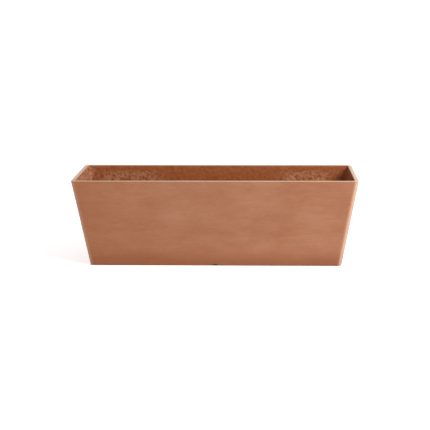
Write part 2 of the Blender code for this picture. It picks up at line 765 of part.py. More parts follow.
def gauge_tube(finish, parent):
    """The tube that guides the float, with a flange on the deck and a plate that guides the rod."""
    low, seat = FLOOR_TOP + SEAT_GAP, DECK_TOP + SEAT_GAP
    bore, hole = GAUGE_RADIUS - GAUGE_WALL, ROD_RADIUS + ROD_GUIDE_GAP
    wide = GAUGE_RADIUS + FLANGE_WIDTH
    profile = [
        (bore, low),
        (GAUGE_RADIUS, low),
        (GAUGE_RADIUS, seat),
        (wide, seat),
        (wide, FLANGE_TOP),
        (GAUGE_RADIUS, FLANGE_TOP),
        (GAUGE_RADIUS, GAUGE_TOP),
        (hole, GAUGE_TOP),
        (hole, GAUGE_TOP - GAUGE_CAP_PLATE),
        (bore, GAUGE_TOP - GAUGE_CAP_PLATE),
    ]
    tube = new_object("gauge_tube", turned(profile), finish, parent)
    half, far = OUTLET_WIDTH / 4, 2 * GAUGE_RADIUS
    low_cut, high_cut = low - OUTLET_HEIGHT, low + OUTLET_HEIGHT
    cut(tube, blocks([((-half, -far, low_cut), (half, far, high_cut))]), "inlets_across")
    cut(tube, blocks([((-far, -half, low_cut), (far, half, high_cut))]), "inlets_along")
    return tube


def gauge_dome(finish, parent):
    """The clear window over the flag. Its skirt fits over the tube."""
    skirt = GAUGE_RADIUS + SEAT_GAP
    shoulder = GAUGE_TOP + SEAT_GAP
    top = HEIGHT - GAUGE_BELOW_RIM
    bore = DOME_RADIUS - DOME_WALL
    profile = soften(
        [
            (0, top - DOME_WALL, 0),
            (bore, top - DOME_WALL, DOME_WALL),
            (bore, shoulder, 0),
            (skirt, shoulder, 0),
            (skirt, shoulder - DOME_SKIRT, 0),
            (skirt + DOME_WALL, shoulder - DOME_SKIRT, 0),
            (skirt + DOME_WALL, shoulder + DOME_WALL, DOME_WALL / 2),
            (DOME_RADIUS, shoulder + DOME_WALL, 0),
            (DOME_RADIUS, top, 2 * DOME_WALL),
            (0, top, 0),
        ]
    )
    return new_object("gauge_dome", turned(profile), finish, parent)


def gauge_float(finish, parent):
    """The foam float, which rests just above the floor when the trough is dry."""
    low = FLOOR_TOP + RUNNING_GAP
    wide = GAUGE_RADIUS - GAUGE_WALL - 2 * RUNNING_GAP
    hole = ROD_RADIUS + SEAT_GAP
    profile = soften(
        [
            (hole, low, 0),
            (wide, low, FLOAT_HEIGHT / 10),
            (wide, low + FLOAT_HEIGHT, FLOAT_HEIGHT / 10),
            (hole, low + FLOAT_HEIGHT, 0),
        ],
        closed=True,
    )
    return new_object("gauge_float", turned(profile), finish, parent)


def gauge_rod(finish, parent):
    """The rod from the float up to the flag."""
    low = FLOOR_TOP + RUNNING_GAP + SEAT_GAP
    high = FLAG_LOW + FLAG_HEIGHT / 2
    mesh = prism(circle(ROD_RADIUS, SMALL_ROUND_STEPS), low, high)
    return new_object("gauge_rod", mesh, finish, parent)


def gauge_flag(finish, parent):
    """The red flag that shows in the window."""
    socket = ROD_RADIUS + SEAT_GAP
    inner_top = FLAG_LOW + FLAG_HEIGHT / 2 + SEAT_GAP
    high = FLAG_LOW + FLAG_HEIGHT
    profile = soften(
        [
            (0, inner_top, 0),
            (socket, inner_top, 0),
            (socket, FLAG_LOW, 0),
            (FLAG_RADIUS, FLAG_LOW, FLAG_HEIGHT / 10),
            (FLAG_RADIUS, high, FLAG_HEIGHT / 5),
            (0, high, 0),
        ]
    )
    return new_object("gauge_flag", turned(profile), finish, parent)


def main():
    clear_scene()
    terracotta = finish_of("terracotta_composite", (0.47, 0.17, 0.08), 0.72)
    black = finish_of("black_polypropylene", (0.03, 0.03, 0.032), 0.5)
    grey = finish_of("grey_polypropylene", (0.13, 0.13, 0.13), 0.45)
    rubber = finish_of("black_rubber", (0.02, 0.02, 0.02), 0.8)
    steel = finish_of("stainless_steel", (0.6, 0.6, 0.6), 0.3, metallic=1.0)
    foam = finish_of("white_foam", (0.8, 0.8, 0.78), 0.9)
    red = finish_of("red_plastic", (0.6, 0.02, 0.02), 0.4)
    clear = finish_of("clear_polystyrene", (0.9, 0.93, 0.95), 0.05, alpha=0.3)

    trough = empty("trough_frame", (0, 0, 0))
    planter_shell(terracotta, trough)
    drain_grommet(rubber, trough)
    overflow_standpipe(grey, trough)
    drain_plug(rubber, trough)

    insert = empty("insert_frame", (0, 0, 0), trough)
    reservoir_deck(black, insert)
    deck_end(black, insert)
    for i, x in enumerate(BASKET_XS):
        wick_basket(f"wick_basket_{i + 1}", black, insert, x)
    for i, place in enumerate(PILLARS):
        deck_pillar(f"deck_pillar_{i + 1}", black, insert, place)
    fill_shaft(black, insert)
    lid_pin(steel, insert)
    fill_lid(grey, empty("lid_frame", (HINGE_X, SHAFT_Y, HINGE_Z), insert))

    gauge = empty("gauge_frame", (GAUGE_X, GAUGE_Y, 0), insert)
    gauge_tube(black, gauge)
    gauge_dome(clear, gauge)
    gauge_float(foam, gauge)
    gauge_rod(steel, gauge)
    gauge_flag(red, gauge)


main()
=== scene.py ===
"""A self-watering trough planter, dressed for a studio picture.

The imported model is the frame. Each class below builds one sub-assembly on it, piece by piece, and
gives each piece the finish of the real one. All sizes are in metres, with Z up.
"""

import logging
import math
from dataclasses import dataclass, field
from enum import Enum

import bmesh
import bpy
from mathutils import Euler, Matrix, Vector


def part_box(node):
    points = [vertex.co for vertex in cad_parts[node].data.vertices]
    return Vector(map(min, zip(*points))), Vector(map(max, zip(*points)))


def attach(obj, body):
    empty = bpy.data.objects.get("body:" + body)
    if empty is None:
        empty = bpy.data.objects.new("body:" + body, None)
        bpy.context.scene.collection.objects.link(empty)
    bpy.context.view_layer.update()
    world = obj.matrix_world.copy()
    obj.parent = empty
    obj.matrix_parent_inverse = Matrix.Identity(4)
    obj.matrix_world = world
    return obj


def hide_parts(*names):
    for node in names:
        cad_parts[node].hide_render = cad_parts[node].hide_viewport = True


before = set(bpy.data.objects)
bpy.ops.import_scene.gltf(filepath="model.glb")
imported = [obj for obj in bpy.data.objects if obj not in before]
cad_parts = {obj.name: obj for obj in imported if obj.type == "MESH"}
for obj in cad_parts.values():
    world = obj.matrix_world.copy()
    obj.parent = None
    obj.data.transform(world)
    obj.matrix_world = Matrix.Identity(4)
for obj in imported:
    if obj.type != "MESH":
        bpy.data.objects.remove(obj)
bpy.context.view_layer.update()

LOG = logging.getLogger("planter")
MM = 0.001
QUARTER = math.pi / 2

Point = tuple[float, float]
Corner = tuple[float, float, float]
Ring = tuple[list[Point], float]
Place = tuple[Corner, Corner]

# Turns of a repeated block about X, Y and Z: upright, through the front and through the side.
UPRIGHT: Corner = (0.0, 0.0, 0.0)
THROUGH_FRONT: Corner = (QUARTER, 0.0, 0.0)
THROUGH_SIDE: Corner = (QUARTER, 0.0, QUARTER)

# What the trough's finish reads on its vertices. The edge mark is wear with a painted
# highlight, the low mark is painted shade towards the bottom, and the last mark is dusting
# with painted light on the left end's inner wall.
MARKS = ("edge", "inside", "low", "dust")


class Body(Enum):
    """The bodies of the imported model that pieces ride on."""

    TROUGH = "trough"
    PLUG = "plug"
    INSERT = "insert"
    LID = "lid"
    FLOAT = "float"
    BASKET_1 = "basket_1"
    BASKET_2 = "basket_2"
    BASKET_3 = "basket_3"


class Slot(Enum):
    """The record's material slots."""

    COMPOSITE = "terracotta_composite"
    BLACK_PLASTIC = "black_polypropylene"
    GREY_PLASTIC = "grey_polypropylene"
    RUBBER = "black_rubber"
    STEEL = "stainless_steel"
    FOAM = "white_foam"
    RED_PLASTIC = "red_plastic"
    CLEAR_PLASTIC = "clear_polystyrene"


class Operation(Enum):
    """What a repeated shape does to the piece it is set on."""

    CUT = "cut"
    ADD = "add"


# Nodes.


def add_node(
    tree: bpy.types.NodeTree,
    kind: str,
    links: dict | None = None,
    **settings: object,
) -> bpy.types.Node:
    """Adds a node with its settings and links.

    Args:
        tree: The node tree that takes the node.
        kind: The node's type.
        links: For an input's name or number, the output that feeds it or its plain value.
        settings: The node's own properties.

    Returns:
        The new node.
    """
    node = tree.nodes.new(kind)
    for name, value in settings.items():
        setattr(node, name, value)
    for name, value in (links or {}).items():
        socket = node.inputs[name]
        if isinstance(value, bpy.types.NodeSocket):
            tree.links.new(value, socket)
        else:
            socket.default_value = value
    return node


def linear(code: str) -> tuple[float, float, float, float]:
    """Turns an sRGB hex colour to linear.

    Args:
        code: Six hex digits after a hash.

    Returns:
        The linear red, green and blue, with an alpha of one.
    """
    parts = [int(code[i : i + 2], 16) / 255 for i in (1, 3, 5)]
    return (*(p / 12.92 if p <= 0.04045 else ((p + 0.055) / 1.055) ** 2.4 for p in parts), 1.0)


def ramp(
    tree: bpy.types.NodeTree, value: bpy.types.NodeSocket, stops: list[tuple[float, str]]
) -> bpy.types.NodeSocket:
    """Runs a value through colours.

    Args:
        tree: The material's node tree.
        value: The value from 0 to 1.
        stops: Positions with their sRGB hex colours, in order.

    Returns:
        The colour output.
    """
    node = add_node(tree, "ShaderNodeValToRGB", {"Fac": value})
    elements = node.color_ramp.elements
    while len(elements) < len(stops):
        elements.new(0.5)
    for element, (position, code) in zip(elements, stops):
        element.position = position
        element.color = linear(code)
    return node.outputs["Color"]


def remap(
    tree: bpy.types.NodeTree,
    value: bpy.types.NodeSocket,
    low: float,
    high: float,
    to_low: float = 0.0,
    to_high: float = 1.0,
) -> bpy.types.NodeSocket:
    """Stretches a value from one range to another, and clamps it there.

    Args:
        tree: The node tree.
        value: The value.
        low: What becomes to_low.
        high: What becomes to_high.
        to_low: The new range's start.
        to_high: The new range's end.

    Returns:
        The stretched value.
    """
    links = {"Value": value, 1: low, 2: high, 3: to_low, 4: to_high}
    return add_node(tree, "ShaderNodeMapRange", links).outputs["Result"]


def product(
    tree: bpy.types.NodeTree, first: bpy.types.NodeSocket, second: bpy.types.NodeSocket | float
) -> bpy.types.NodeSocket:
    """Multiplies two values.

    Args:
        tree: The node tree.
        first: One value.
        second: The other.

    Returns:
        Their product.
    """
    node = add_node(tree, "ShaderNodeMath", {0: first, 1: second}, operation="MULTIPLY")
    return node.outputs["Value"]


def blend_colours(
    tree: bpy.types.NodeTree,
    amount: bpy.types.NodeSocket,
    under: bpy.types.NodeSocket,
    over: bpy.types.NodeSocket | str,
) -> bpy.types.NodeSocket:
    """Lays one colour over another.

    Args:
        tree: The material's node tree.
        amount: How much of the upper colour shows.
        under: The lower colour.
        over: The upper colour, or its sRGB hex code.

    Returns:
        The mixed colour.
    """
    upper = linear(over) if isinstance(over, str) else over
    links = {0: amount, 6: under, 7: upper}
    return add_node(tree, "ShaderNodeMix", links, data_type="RGBA").outputs[2]


@dataclass(frozen=True)
class Grain:
    """A noise pattern on a piece, by the real size of its grains."""

    size: Vector | float
    detail: float = 3.0
    roughness: float = 0.55
    shift: float = 0.0

    def value(self, tree: bpy.types.NodeTree) -> bpy.types.NodeSocket:
        """Adds the pattern to a tree.

        Args:
            tree: The material's node tree.

        Returns:
            The pattern's value, about 0.5 on average.
        """
        place = add_node(tree, "ShaderNodeTexCoord").outputs["Object"]
        size = self.size if isinstance(self.size, Vector) else Vector((self.size,) * 3)
        links = {"Vector": place, "Location": (self.shift,) * 3, "Scale": [1 / s for s in size]}
        scaled = add_node(tree, "ShaderNodeMapping", links).outputs[0]
        links = {"Vector": scaled, "Scale": 1.0, "Detail": self.detail, "Roughness": self.roughness}
        return add_node(tree, "ShaderNodeTexNoise", links).outputs["Fac"]


# Finishes.


@dataclass(frozen=True)
class Finish:
    """A finish: its name, and the record's slot that it stands for."""

    name: str
    slot: Slot | None = None

    def start(self, **sockets: object) -> tuple[bpy.types.NodeTree, bpy.types.Node]:
        """Makes the material with its shader.

        Args:
            sockets: Values of the shader's own sockets, with _ for a space.

        Returns:
            The node tree and the shader.
        """
        made = bpy.data.materials.new(self.name)
        made.use_nodes = True
        tree = made.node_tree
        shader = tree.nodes["Principled BSDF"]
        for name, value in sockets.items():
            shader.inputs[name.replace("_", " ")].default_value = value
        return tree, shader

    def material(self) -> bpy.types.Material:
        """Gives the finish's material, made on its first use."""
        if self.name not in bpy.data.materials:
            self.build()
        return bpy.data.materials[self.name]

    def build(self) -> None:
        """Makes the material. Each finish has its own way."""
        raise NotImplementedError

    def dress(
        self,
        tree: bpy.types.NodeTree,
        shader: bpy.types.Node,
        colour: bpy.types.NodeSocket,
        rough: bpy.types.NodeSocket,
        layers: list[tuple[bpy.types.NodeSocket, float]],
    ) -> None:
        """Gives the shader its colour, its roughness and its relief.

        Args:
            tree: The material's node tree.
            shader: Its shader.
            colour: The base colour.
            rough: The roughness.
            layers: Patterns that raise the surface, each with its height in metres.
        """
        tree.links.new(colour, shader.inputs["Base Color"])
        tree.links.new(rough, shader.inputs["Roughness"])
        normal = None
        for value, height in layers:
            links = {"Height": value, "Distance": height, "Strength": 1.0}
            if normal is not None:
                links["Normal"] = normal
            normal = add_node(tree, "ShaderNodeBump", links).outputs["Normal"]
        tree.links.new(normal, shader.inputs["Normal"])


@dataclass(frozen=True)
class TerracottaComposite(Finish):
    """Stone powder bound in resin, rotationally moulded and wiped by hand with a pale wash.

    To the eye it is dry and matt, with no highlight. The cloth leaves faint level streaks and
    clouds, the pale stone shows through along the edges, and the inside, which isn't wiped, is
    darker and redder, with patches of pale dusting. Light and shade are painted into the colour
    too: painted shade darkens the outside towards the left end and towards the bottom, a painted
    highlight lies on the rim's top and more strongly on the right-hand corners, and painted light
    lies on the upper inner wall of the left end.
    """

    streak: Vector = Vector((50 * MM, 50 * MM, 5 * MM))
    fine_streak: Vector = Vector((12 * MM, 12 * MM, 2 * MM))
    cloud: Vector = Vector((120 * MM, 120 * MM, 60 * MM))
    mottle: float = 7 * MM
    # Grit is a few tenths of a millimetre. It is drawn coarser, so that it shows.
    grit: float = 1.4 * MM

    def build(self) -> None:
        """Makes the material."""
        tree, shader = self.start(IOR=1.5)
        edge, inside, low, dust = (
            add_node(tree, "ShaderNodeAttribute", attribute_name=name).outputs["Fac"]
            for name in MARKS
        )
        place = add_node(tree, "ShaderNodeTexCoord").outputs["Object"]
        clouds = Grain(self.cloud, 5.0, 0.6).value(tree)
        streaks = Grain(self.streak, 5.0, 0.62, 3.0).value(tree)
        fine = Grain(self.fine_streak, 3.0, 0.6, 7.0).value(tree)
        mottle = Grain(self.mottle, 6.0, 0.68, 11.0).value(tree)
        grit = Grain(self.grit, 2.0, 0.5, 17.0).value(tree)

        clouded = remap(tree, clouds, 0.30, 0.70)
        wiped = ramp(tree, clouded, [(0.0, "#915A3D"), (0.5, "#996446"), (1.0, "#A16D52")])
        along = add_node(tree, "ShaderNodeSeparateXYZ", {0: place}).outputs["X"]
        for value, start, end, most, code in (
            # painted shade: the outside darkens towards the left end, away from the light on the
            # right
            (along, -0.06, -0.29, 0.75, "#905431"),
            (streaks, 0.45, 0.75, 0.08, "#BE9074"),
            (streaks, 0.45, 0.22, 0.14, "#86502F"),
            (fine, 0.42, 0.75, 0.12, "#C09478"),
            (mottle, 0.50, 0.25, 0.16, "#864C2E"),
            # painted shade: darker towards the bottom, where the leaning wall shades itself over
            # the floor
            (low, 0.0, 1.0, 0.75, "#834A2A"),
        ):
            wiped = blend_colours(tree, remap(tree, value, start, end, 0.0, most), wiped, code)
        mottled = remap(tree, mottle, 0.28, 0.72)
        bare = ramp(tree, mottled, [(0.0, "#934A25"), (0.5, "#A55E36"), (1.0, "#B06D46")])
        # dusting in patches, and painted light on the left end's inner wall, which faces the light
        dust_and_painted_light_mix = product(tree, dust, remap(tree, mottle, 0.42, 0.62, 0.0, 0.75))
        bare = blend_colours(tree, dust_and_painted_light_mix, bare, "#CF9C7A")
        both = blend_colours(tree, inside, wiped, bare)
        # wear with a painted highlight: the rim's top and the corners go pale, the right-hand
        # corners most, where the light falls
        wear_and_painted_highlight = product(tree, edge, remap(tree, mottle, 0.20, 0.50, 0.72, 1.0))
        both = blend_colours(tree, wear_and_painted_highlight, both, "#F2D0B8")
        speck = remap(tree, grit, 0.68, 0.80, 0.0, 0.18)
        colour = blend_colours(tree, speck, both, "#8A5636")
        gloss = remap(tree, inside, 0.0, 1.0, 0.34, 0.08)
        tree.links.new(gloss, shader.inputs["Specular IOR Level"])
        rough = remap(tree, mottle, 0.3, 0.7, 0.66, 0.84)
        relief = [(streaks, 0.03 * MM), (mottle, 0.05 * MM), (grit, 0.05 * MM)]
        self.dress(tree, shader, colour, rough, relief)


@dataclass(frozen=True)
class MouldedPolypropylene(Finish):
    """Injection-moulded polypropylene from a spark-eroded mould.

    To the eye it is a waxy satin with a fine even pebble, and faint clouds where it cooled.
    """

    dark: str = "#151516"
    pale: str = "#202022"
    rough_from: float = 0.42
    rough_to: float = 0.58
    # The mould's pebble is about 0.2 mm. It is drawn coarser, so that it shows.
    pebble: float = 0.9 * MM
    cloud: float = 22 * MM

    def build(self) -> None:
        """Makes the material."""
        tree, shader = self.start(IOR=1.49, Specular_IOR_Level=0.5)
        clouds = Grain(self.cloud, 4.0).value(tree)
        pebble = Grain(self.pebble, 1.5).value(tree)
        colour = ramp(tree, remap(tree, clouds, 0.3, 0.7), [(0.0, self.dark), (1.0, self.pale)])
        rough = remap(tree, clouds, 0.35, 0.65, self.rough_from, self.rough_to)
        self.dress(tree, shader, colour, rough, [(pebble, 0.035 * MM)])


@dataclass(frozen=True)
class VulcanisedRubber(Finish):
    """Black rubber, pressed and vulcanised.

    To the eye it is a deep matt grey-black, with a pale bloom here and there.
    """

    bloom: float = 5 * MM
    grain: float = 0.8 * MM

    def build(self) -> None:
        """Makes the material."""
        tree, shader = self.start(IOR=1.52, Specular_IOR_Level=0.4)
        bloom = Grain(self.bloom, 5.0, 0.65).value(tree)
        grain = Grain(self.grain, 2.0).value(tree)
        bloomed = remap(tree, bloom, 0.35, 0.75)
        colour = ramp(tree, bloomed, [(0.0, "#131313"), (0.6, "#1B1B1B"), (1.0, "#333231")])
        rough = remap(tree, bloom, 0.3, 0.7, 0.72, 0.92)
        self.dress(tree, shader, colour, rough, [(grain, 0.04 * MM)])


@dataclass(frozen=True)
class DrawnSteel(Finish):
    """Stainless wire, drawn through a die.

    To the eye it is bright, with fine lines along its length.
    """

    line: Vector = Vector((0.25 * MM, 9 * MM, 0.25 * MM))

    def build(self) -> None:
        """Makes the material."""
        tree, shader = self.start(Metallic=1.0)
        lines = Grain(self.line, 3.0, 0.6).value(tree)
        colour = ramp(tree, remap(tree, lines, 0.3, 0.7), [(0.0, "#B4B5B6"), (1.0, "#D3D3D2")])
        rough = remap(tree, lines, 0.3, 0.7, 0.22, 0.38)
        self.dress(tree, shader, colour, rough, [(lines, 0.008 * MM)])


@dataclass(frozen=True)
class ClosedCellFoam(Finish):
    """Expanded closed-cell foam.

    To the eye it is white, dry and slightly translucent, with shallow round cells.
    """

    cell: float = 1.9 * MM

    def build(self) -> None:
        """Makes the material."""
        tree, shader = self.start(IOR=1.4, Specular_IOR_Level=0.25)
        shader.inputs["Subsurface Weight"].default_value = 0.15
        shader.inputs["Subsurface Radius"].default_value = (1.5 * MM, 1.5 * MM, 1.5 * MM)
        shader.inputs["Subsurface Scale"].default_value = 1.0
        place = add_node(tree, "ShaderNodeTexCoord").outputs["Object"]
        links = {"Vector": place, "Scale": 1 / self.cell}
        cells = add_node(tree, "ShaderNodeTexVoronoi", links).outputs["Distance"]
        colour = ramp(tree, remap(tree, cells, 0.2, 0.75), [(0.0, "#F2F1EC"), (1.0, "#DDDBD3")])
        rough = remap(tree, cells, 0.0, 0.8, 0.80, 0.92)
        self.dress(tree, shader, colour, rough, [(remap(tree, cells, 0.8, 0.1), 0.12 * MM)])


@dataclass(frozen=True)
class GlossStyrene(Finish):
    """Red polystyrene from a polished mould.

    To the eye it is a clean glossy signal red, with a slight orange peel.
    """

    peel: float = 2.2 * MM

    def build(self) -> None:
        """Makes the material."""
        tree, shader = self.start(IOR=1.59, Coat_Weight=0.25, Coat_Roughness=0.08)
        peel = Grain(self.peel, 2.0).value(tree)
        colour = ramp(tree, remap(tree, peel, 0.3, 0.7), [(0.0, "#B8130F"), (1.0, "#C81B15")])
        rough = remap(tree, peel, 0.3, 0.7, 0.18, 0.28)
        self.dress(tree, shader, colour, rough, [(peel, 0.02 * MM)])


@dataclass(frozen=True)
class ClearPolystyrene(Finish):
    """Clear polystyrene from a polished mould.

    To the eye it is glass-clear with a cool cast, and faintly wavy and scuffed.
    """

    wave: float = 7 * MM

    def build(self) -> None:
        """Makes the material."""
        tree, shader = self.start(IOR=1.59, Transmission_Weight=1.0)
        wave = Grain(self.wave, 2.0).value(tree)
        colour = ramp(tree, remap(tree, wave, 0.3, 0.7), [(0.0, "#EEF3F4"), (1.0, "#F8FBFC")])
        rough = remap(tree, wave, 0.4, 0.75, 0.02, 0.10)
        self.dress(tree, shader, colour, rough, [(wave, 0.02 * MM)])


@dataclass(frozen=True)
class PaperSweep(Finish):
    """White matt backdrop paper on a lit table, so that it stays white round the object.

    Under the trough's foot the glow is cut out, a painted contact shadow that leaves the paper dark
    there.
    """

    glow: float = 0.62
    # The half sizes of the painted contact shadow under the trough's foot.
    painted_shadow_half: tuple[float, float] = (269.5 * MM, 64.5 * MM)
    blur: float = 1.5 * MM

    def build(self) -> None:
        """Makes the material."""
        tree, shader = self.start(
            Base_Color=linear("#F7F7F7"),
            Roughness=0.95,
            Specular_IOR_Level=0.1,
            Emission_Color=linear("#FFFFFF"),
        )
        place = add_node(tree, "ShaderNodeTexCoord").outputs["Object"]
        axes = add_node(tree, "ShaderNodeSeparateXYZ", {0: place}).outputs
        sides = []
        for axis, edge in zip(axes, self.painted_shadow_half):
            away = add_node(tree, "ShaderNodeMath", {0: axis}, operation="ABSOLUTE").outputs[0]
            sides.append(remap(tree, away, edge, edge + self.blur, 0.0, self.glow))
        # painted shadow: the glow is zero inside the foot's outline, so the paper is dark under the
        # trough
        lit = add_node(tree, "ShaderNodeMath", {0: sides[0], 1: sides[1]}, operation="MAXIMUM")
        tree.links.new(lit.outputs[0], shader.inputs["Emission Strength"])


COMPOSITE = TerracottaComposite("wiped_terracotta_composite", Slot.COMPOSITE)
BLACK_PLASTIC = MouldedPolypropylene("moulded_black_polypropylene", Slot.BLACK_PLASTIC)
GREY_PLASTIC = MouldedPolypropylene(
    "moulded_grey_polypropylene", Slot.GREY_PLASTIC, dark="#5D5E61", pale="#6D6E70"
)
RUBBER = VulcanisedRubber("vulcanised_black_rubber", Slot.RUBBER)
STEEL = DrawnSteel("drawn_stainless_steel", Slot.STEEL)
UPRIGHT_STEEL = DrawnSteel(
    "drawn_stainless_rod", Slot.STEEL, line=Vector((0.25 * MM, 0.25 * MM, 9 * MM))
)
FOAM = ClosedCellFoam("closed_cell_foam", Slot.FOAM)
RED_PLASTIC = GlossStyrene("gloss_red_polystyrene", Slot.RED_PLASTIC)
CLEAR_PLASTIC = ClearPolystyrene("clear_polystyrene_window", Slot.CLEAR_PLASTIC)
PAPER = PaperSweep("white_paper_sweep")


# Meshes.


def rounded_rectangle(
    half_x: float, half_y: float, radius: float, steps: int = 8, runs: Point = (1, 1)
) -> list[Point]:
    """The outline of a rectangle with round corners, anticlockwise from its right side.

    Args:
        half_x: Half its length.
        half_y: Half its width.
        radius: The radius of its corners.
        steps: The steps in each corner.
        runs: The steps in each straight side, along X and along Y.

    Returns:
        Its points.
    """
    points: list[Point] = []
    for quarter, (sx, sy) in enumerate(((1, 1), (-1, 1), (-1, -1), (1, -1))):
        for step in range(steps + 1):
            angle = QUARTER * (quarter + step / steps)
            points.append(
                (
                    sx * (half_x - radius) + radius * math.cos(angle),
                    sy * (half_y - radius) + radius * math.sin(angle),
                )
            )
        start = Vector(points[-1])
        nx, ny = ((-1, 1), (-1, -1), (1, -1), (1, 1))[quarter]
        along_x = quarter % 2 == 0
        end = (
            Vector((nx * (half_x - radius), start.y))
            if along_x
            else Vector((start.x, ny * (half_y - radius)))
        )
        count = int(runs[0] if along_x else runs[1])
        points.extend(tuple(start.lerp(end, i / count)) for i in range(1, count))
    return points


def soften(corners: list[Corner], closed: bool = False, steps: int = 6) -> list[Point]:
    """Rounds a profile's corners.

    Args:
        corners: Points with the radius of each.
        closed: Whether the profile's end joins its start.
        steps: The steps in each rounding.

    Returns:
        The rounded profile.
    """
    count = len(corners)
    points: list[Point] = []
    for i, (a, b, radius) in enumerate(corners):
        here = Vector((a, b))
        if radius <= 0 or (not closed and i in (0, count - 1)):
            points.append((a, b))
            continue
        before = (Vector(corners[i - 1][:2]) - here).normalized()
        after = (Vector(corners[(i + 1) % count][:2]) - here).normalized()
        half = before.angle(after) / 2
        middle = here + (before + after).normalized() * (radius / math.sin(half))
        start = here + before * (radius / math.tan(half)) - middle
        end = here + after * (radius / math.tan(half)) - middle
        for step in range(steps + 1):
            spoke = start.lerp(end, step / steps).normalized() * radius
            points.append(tuple(middle + spoke))
    return points


def divide(profile: list[Point], longest: float) -> list[Point]:
    """Adds points to a profile, so that no step is longer than a limit.

    Args:
        profile: The points.
        longest: The limit.

    Returns:
        The points with the new ones between them.
    """
    points = [profile[0]]
    for first, second in zip(profile, profile[1:]):
        start, end = Vector(first), Vector(second)
        count = max(1, math.ceil((end - start).length / longest))
        points.extend(tuple(start.lerp(end, i / count)) for i in range(1, count + 1))
    return points


def skin(rings: list[Ring], closed: bool = False) -> bmesh.types.BMesh:
    """A solid whose surface runs through loops, in order.

    Args:
        rings: Outlines with their heights.
        closed: Joins the last loop to the first, as in a tube. Otherwise both ends are capped.

    Returns:
        The solid.
    """
    mesh = bmesh.new()
    loops = [[mesh.verts.new((x, y, z)) for x, y in outline] for outline, z in rings]
    pairs = list(zip(loops, loops[1:]))
    if closed:
        pairs.append((loops[-1], loops[0]))
    for first, second in pairs:
        for i in range(len(first)):
            mesh.faces.new((first[i - 1], first[i], second[i], second[i - 1]))
    if not closed:
        mesh.faces.new(reversed(loops[0]))
        mesh.faces.new(loops[-1])
    return mesh


def turned(profile: list[Point], closed: bool = True, steps: int = 64) -> bmesh.types.BMesh:
    """A solid turned about Z.

    Args:
        profile: Its (radius, height) points. An open profile starts and ends on the axis.
        closed: Whether the profile's end joins its start.
        steps: The steps round the axis.

    Returns:
        The solid.
    """
    mesh = bmesh.new()
    loops = []
    for radius, z in profile:
        if radius < 1e-7:
            loops.append([mesh.verts.new((0, 0, z))] * steps)
            continue
        turns = (math.tau * i / steps for i in range(steps))
        ring = [(radius * math.cos(t), radius * math.sin(t), z) for t in turns]
        loops.append([mesh.verts.new(point) for point in ring])
    pairs = list(zip(loops, loops[1:]))
    if closed:
        pairs.append((loops[-1], loops[0]))
    for first, second in pairs:
        for i in range(steps):
            corners = (first[i - 1], first[i], second[i], second[i - 1])
            face = list(dict.fromkeys(corners))
            if len(face) > 2:
                mesh.faces.new(face)
    return mesh


def prism(outline: list[Point], low: float, high: float) -> bmesh.types.BMesh:
    """An outline raised from low to high.

    Args:
        outline: Its points, anticlockwise.
        low: The lower height.
        high: The upper height.

    Returns:
        The solid.
    """
    return skin([(outline, low), (outline, high)])


def dowel(radius: float, low: float, high: float) -> bmesh.types.BMesh:
    """A rod about Z with rounded ends.

    Args:
        radius: Its radius.
        low: Its lower end.
        high: Its upper end.

    Returns:
        The solid.
    """
    ends = 0.4 * MM
    profile = [(0, low, 0), (radius, low, ends), (radius, high, ends), (0, high, 0)]
    return turned(soften(profile, steps=3), closed=False, steps=32)


def bead(inner: float, outer: float, low: float) -> list[Corner]:
    """A small ring that stands out from a turned profile, going up.

    Args:
        inner: The radius that it stands on.
        outer: The radius that it reaches.
        low: Where it starts.

    Returns:
        Its corners.
    """
    top, rounding = low + 1.2 * MM, 0.15 * MM
    return [
        (inner, low, 0),
        (outer, low + 0.3 * MM, rounding),
        (outer, low + 0.9 * MM, rounding),
        (inner, top, 0),
    ]


def moved(
    mesh: bmesh.types.BMesh, at: Vector | Corner, turn: Corner = UPRIGHT
) -> bmesh.types.BMesh:
    """Turns a solid, then moves it.

    Args:
        mesh: The solid.
        at: Where its origin goes.
        turn: Its turn about X, Y and Z.

    Returns:
        The same solid.
    """
    place = Matrix.Translation(at) @ Euler(turn).to_matrix().to_4x4()
    bmesh.ops.transform(mesh, matrix=place, verts=mesh.verts)
    return mesh


def gathered(solids: list[bmesh.types.BMesh]) -> bmesh.types.BMesh:
    """Puts several solids in one mesh.

    Args:
        solids: The solids, which are used up.

    Returns:
        The one that holds them all.
    """
    whole = bmesh.new()
    for solid in solids:
        if solid.calc_volume(signed=True) < 0:
            bmesh.ops.reverse_faces(solid, faces=solid.faces)
        part = bpy.data.meshes.new("part")
        solid.to_mesh(part)
        solid.free()
        whole.from_mesh(part)
        bpy.data.meshes.remove(part)
    return whole


def new_object(name: str, solid: bmesh.types.BMesh) -> bpy.types.Object:
    """Links an object made from a solid, with its faces outwards.

    Args:
        name: The object's name.
        solid: The solid, which is used up.

    Returns:
        The object.
    """
    if solid.calc_volume(signed=True) < 0:
        bmesh.ops.reverse_faces(solid, faces=solid.faces)
    mesh = bpy.data.meshes.new(name)
    solid.to_mesh(mesh)
    solid.free()
    obj = bpy.data.objects.new(name, mesh)
    bpy.context.scene.collection.objects.link(obj)
    return obj


def settle(obj: bpy.types.Object) -> None:
    """Turns an object's modifiers into plain mesh and takes them off.

    Args:
        obj: The object.
    """
    view = bpy.context.evaluated_depsgraph_get()
    made = bpy.data.meshes.new_from_object(
        obj.evaluated_get(view), preserve_all_data_layers=True, depsgraph=view
    )
    obj.modifiers.clear()
    old, obj.data = obj.data, made
    name = old.name
    bpy.data.meshes.remove(old)
    made.name = name


# Geometry Nodes.


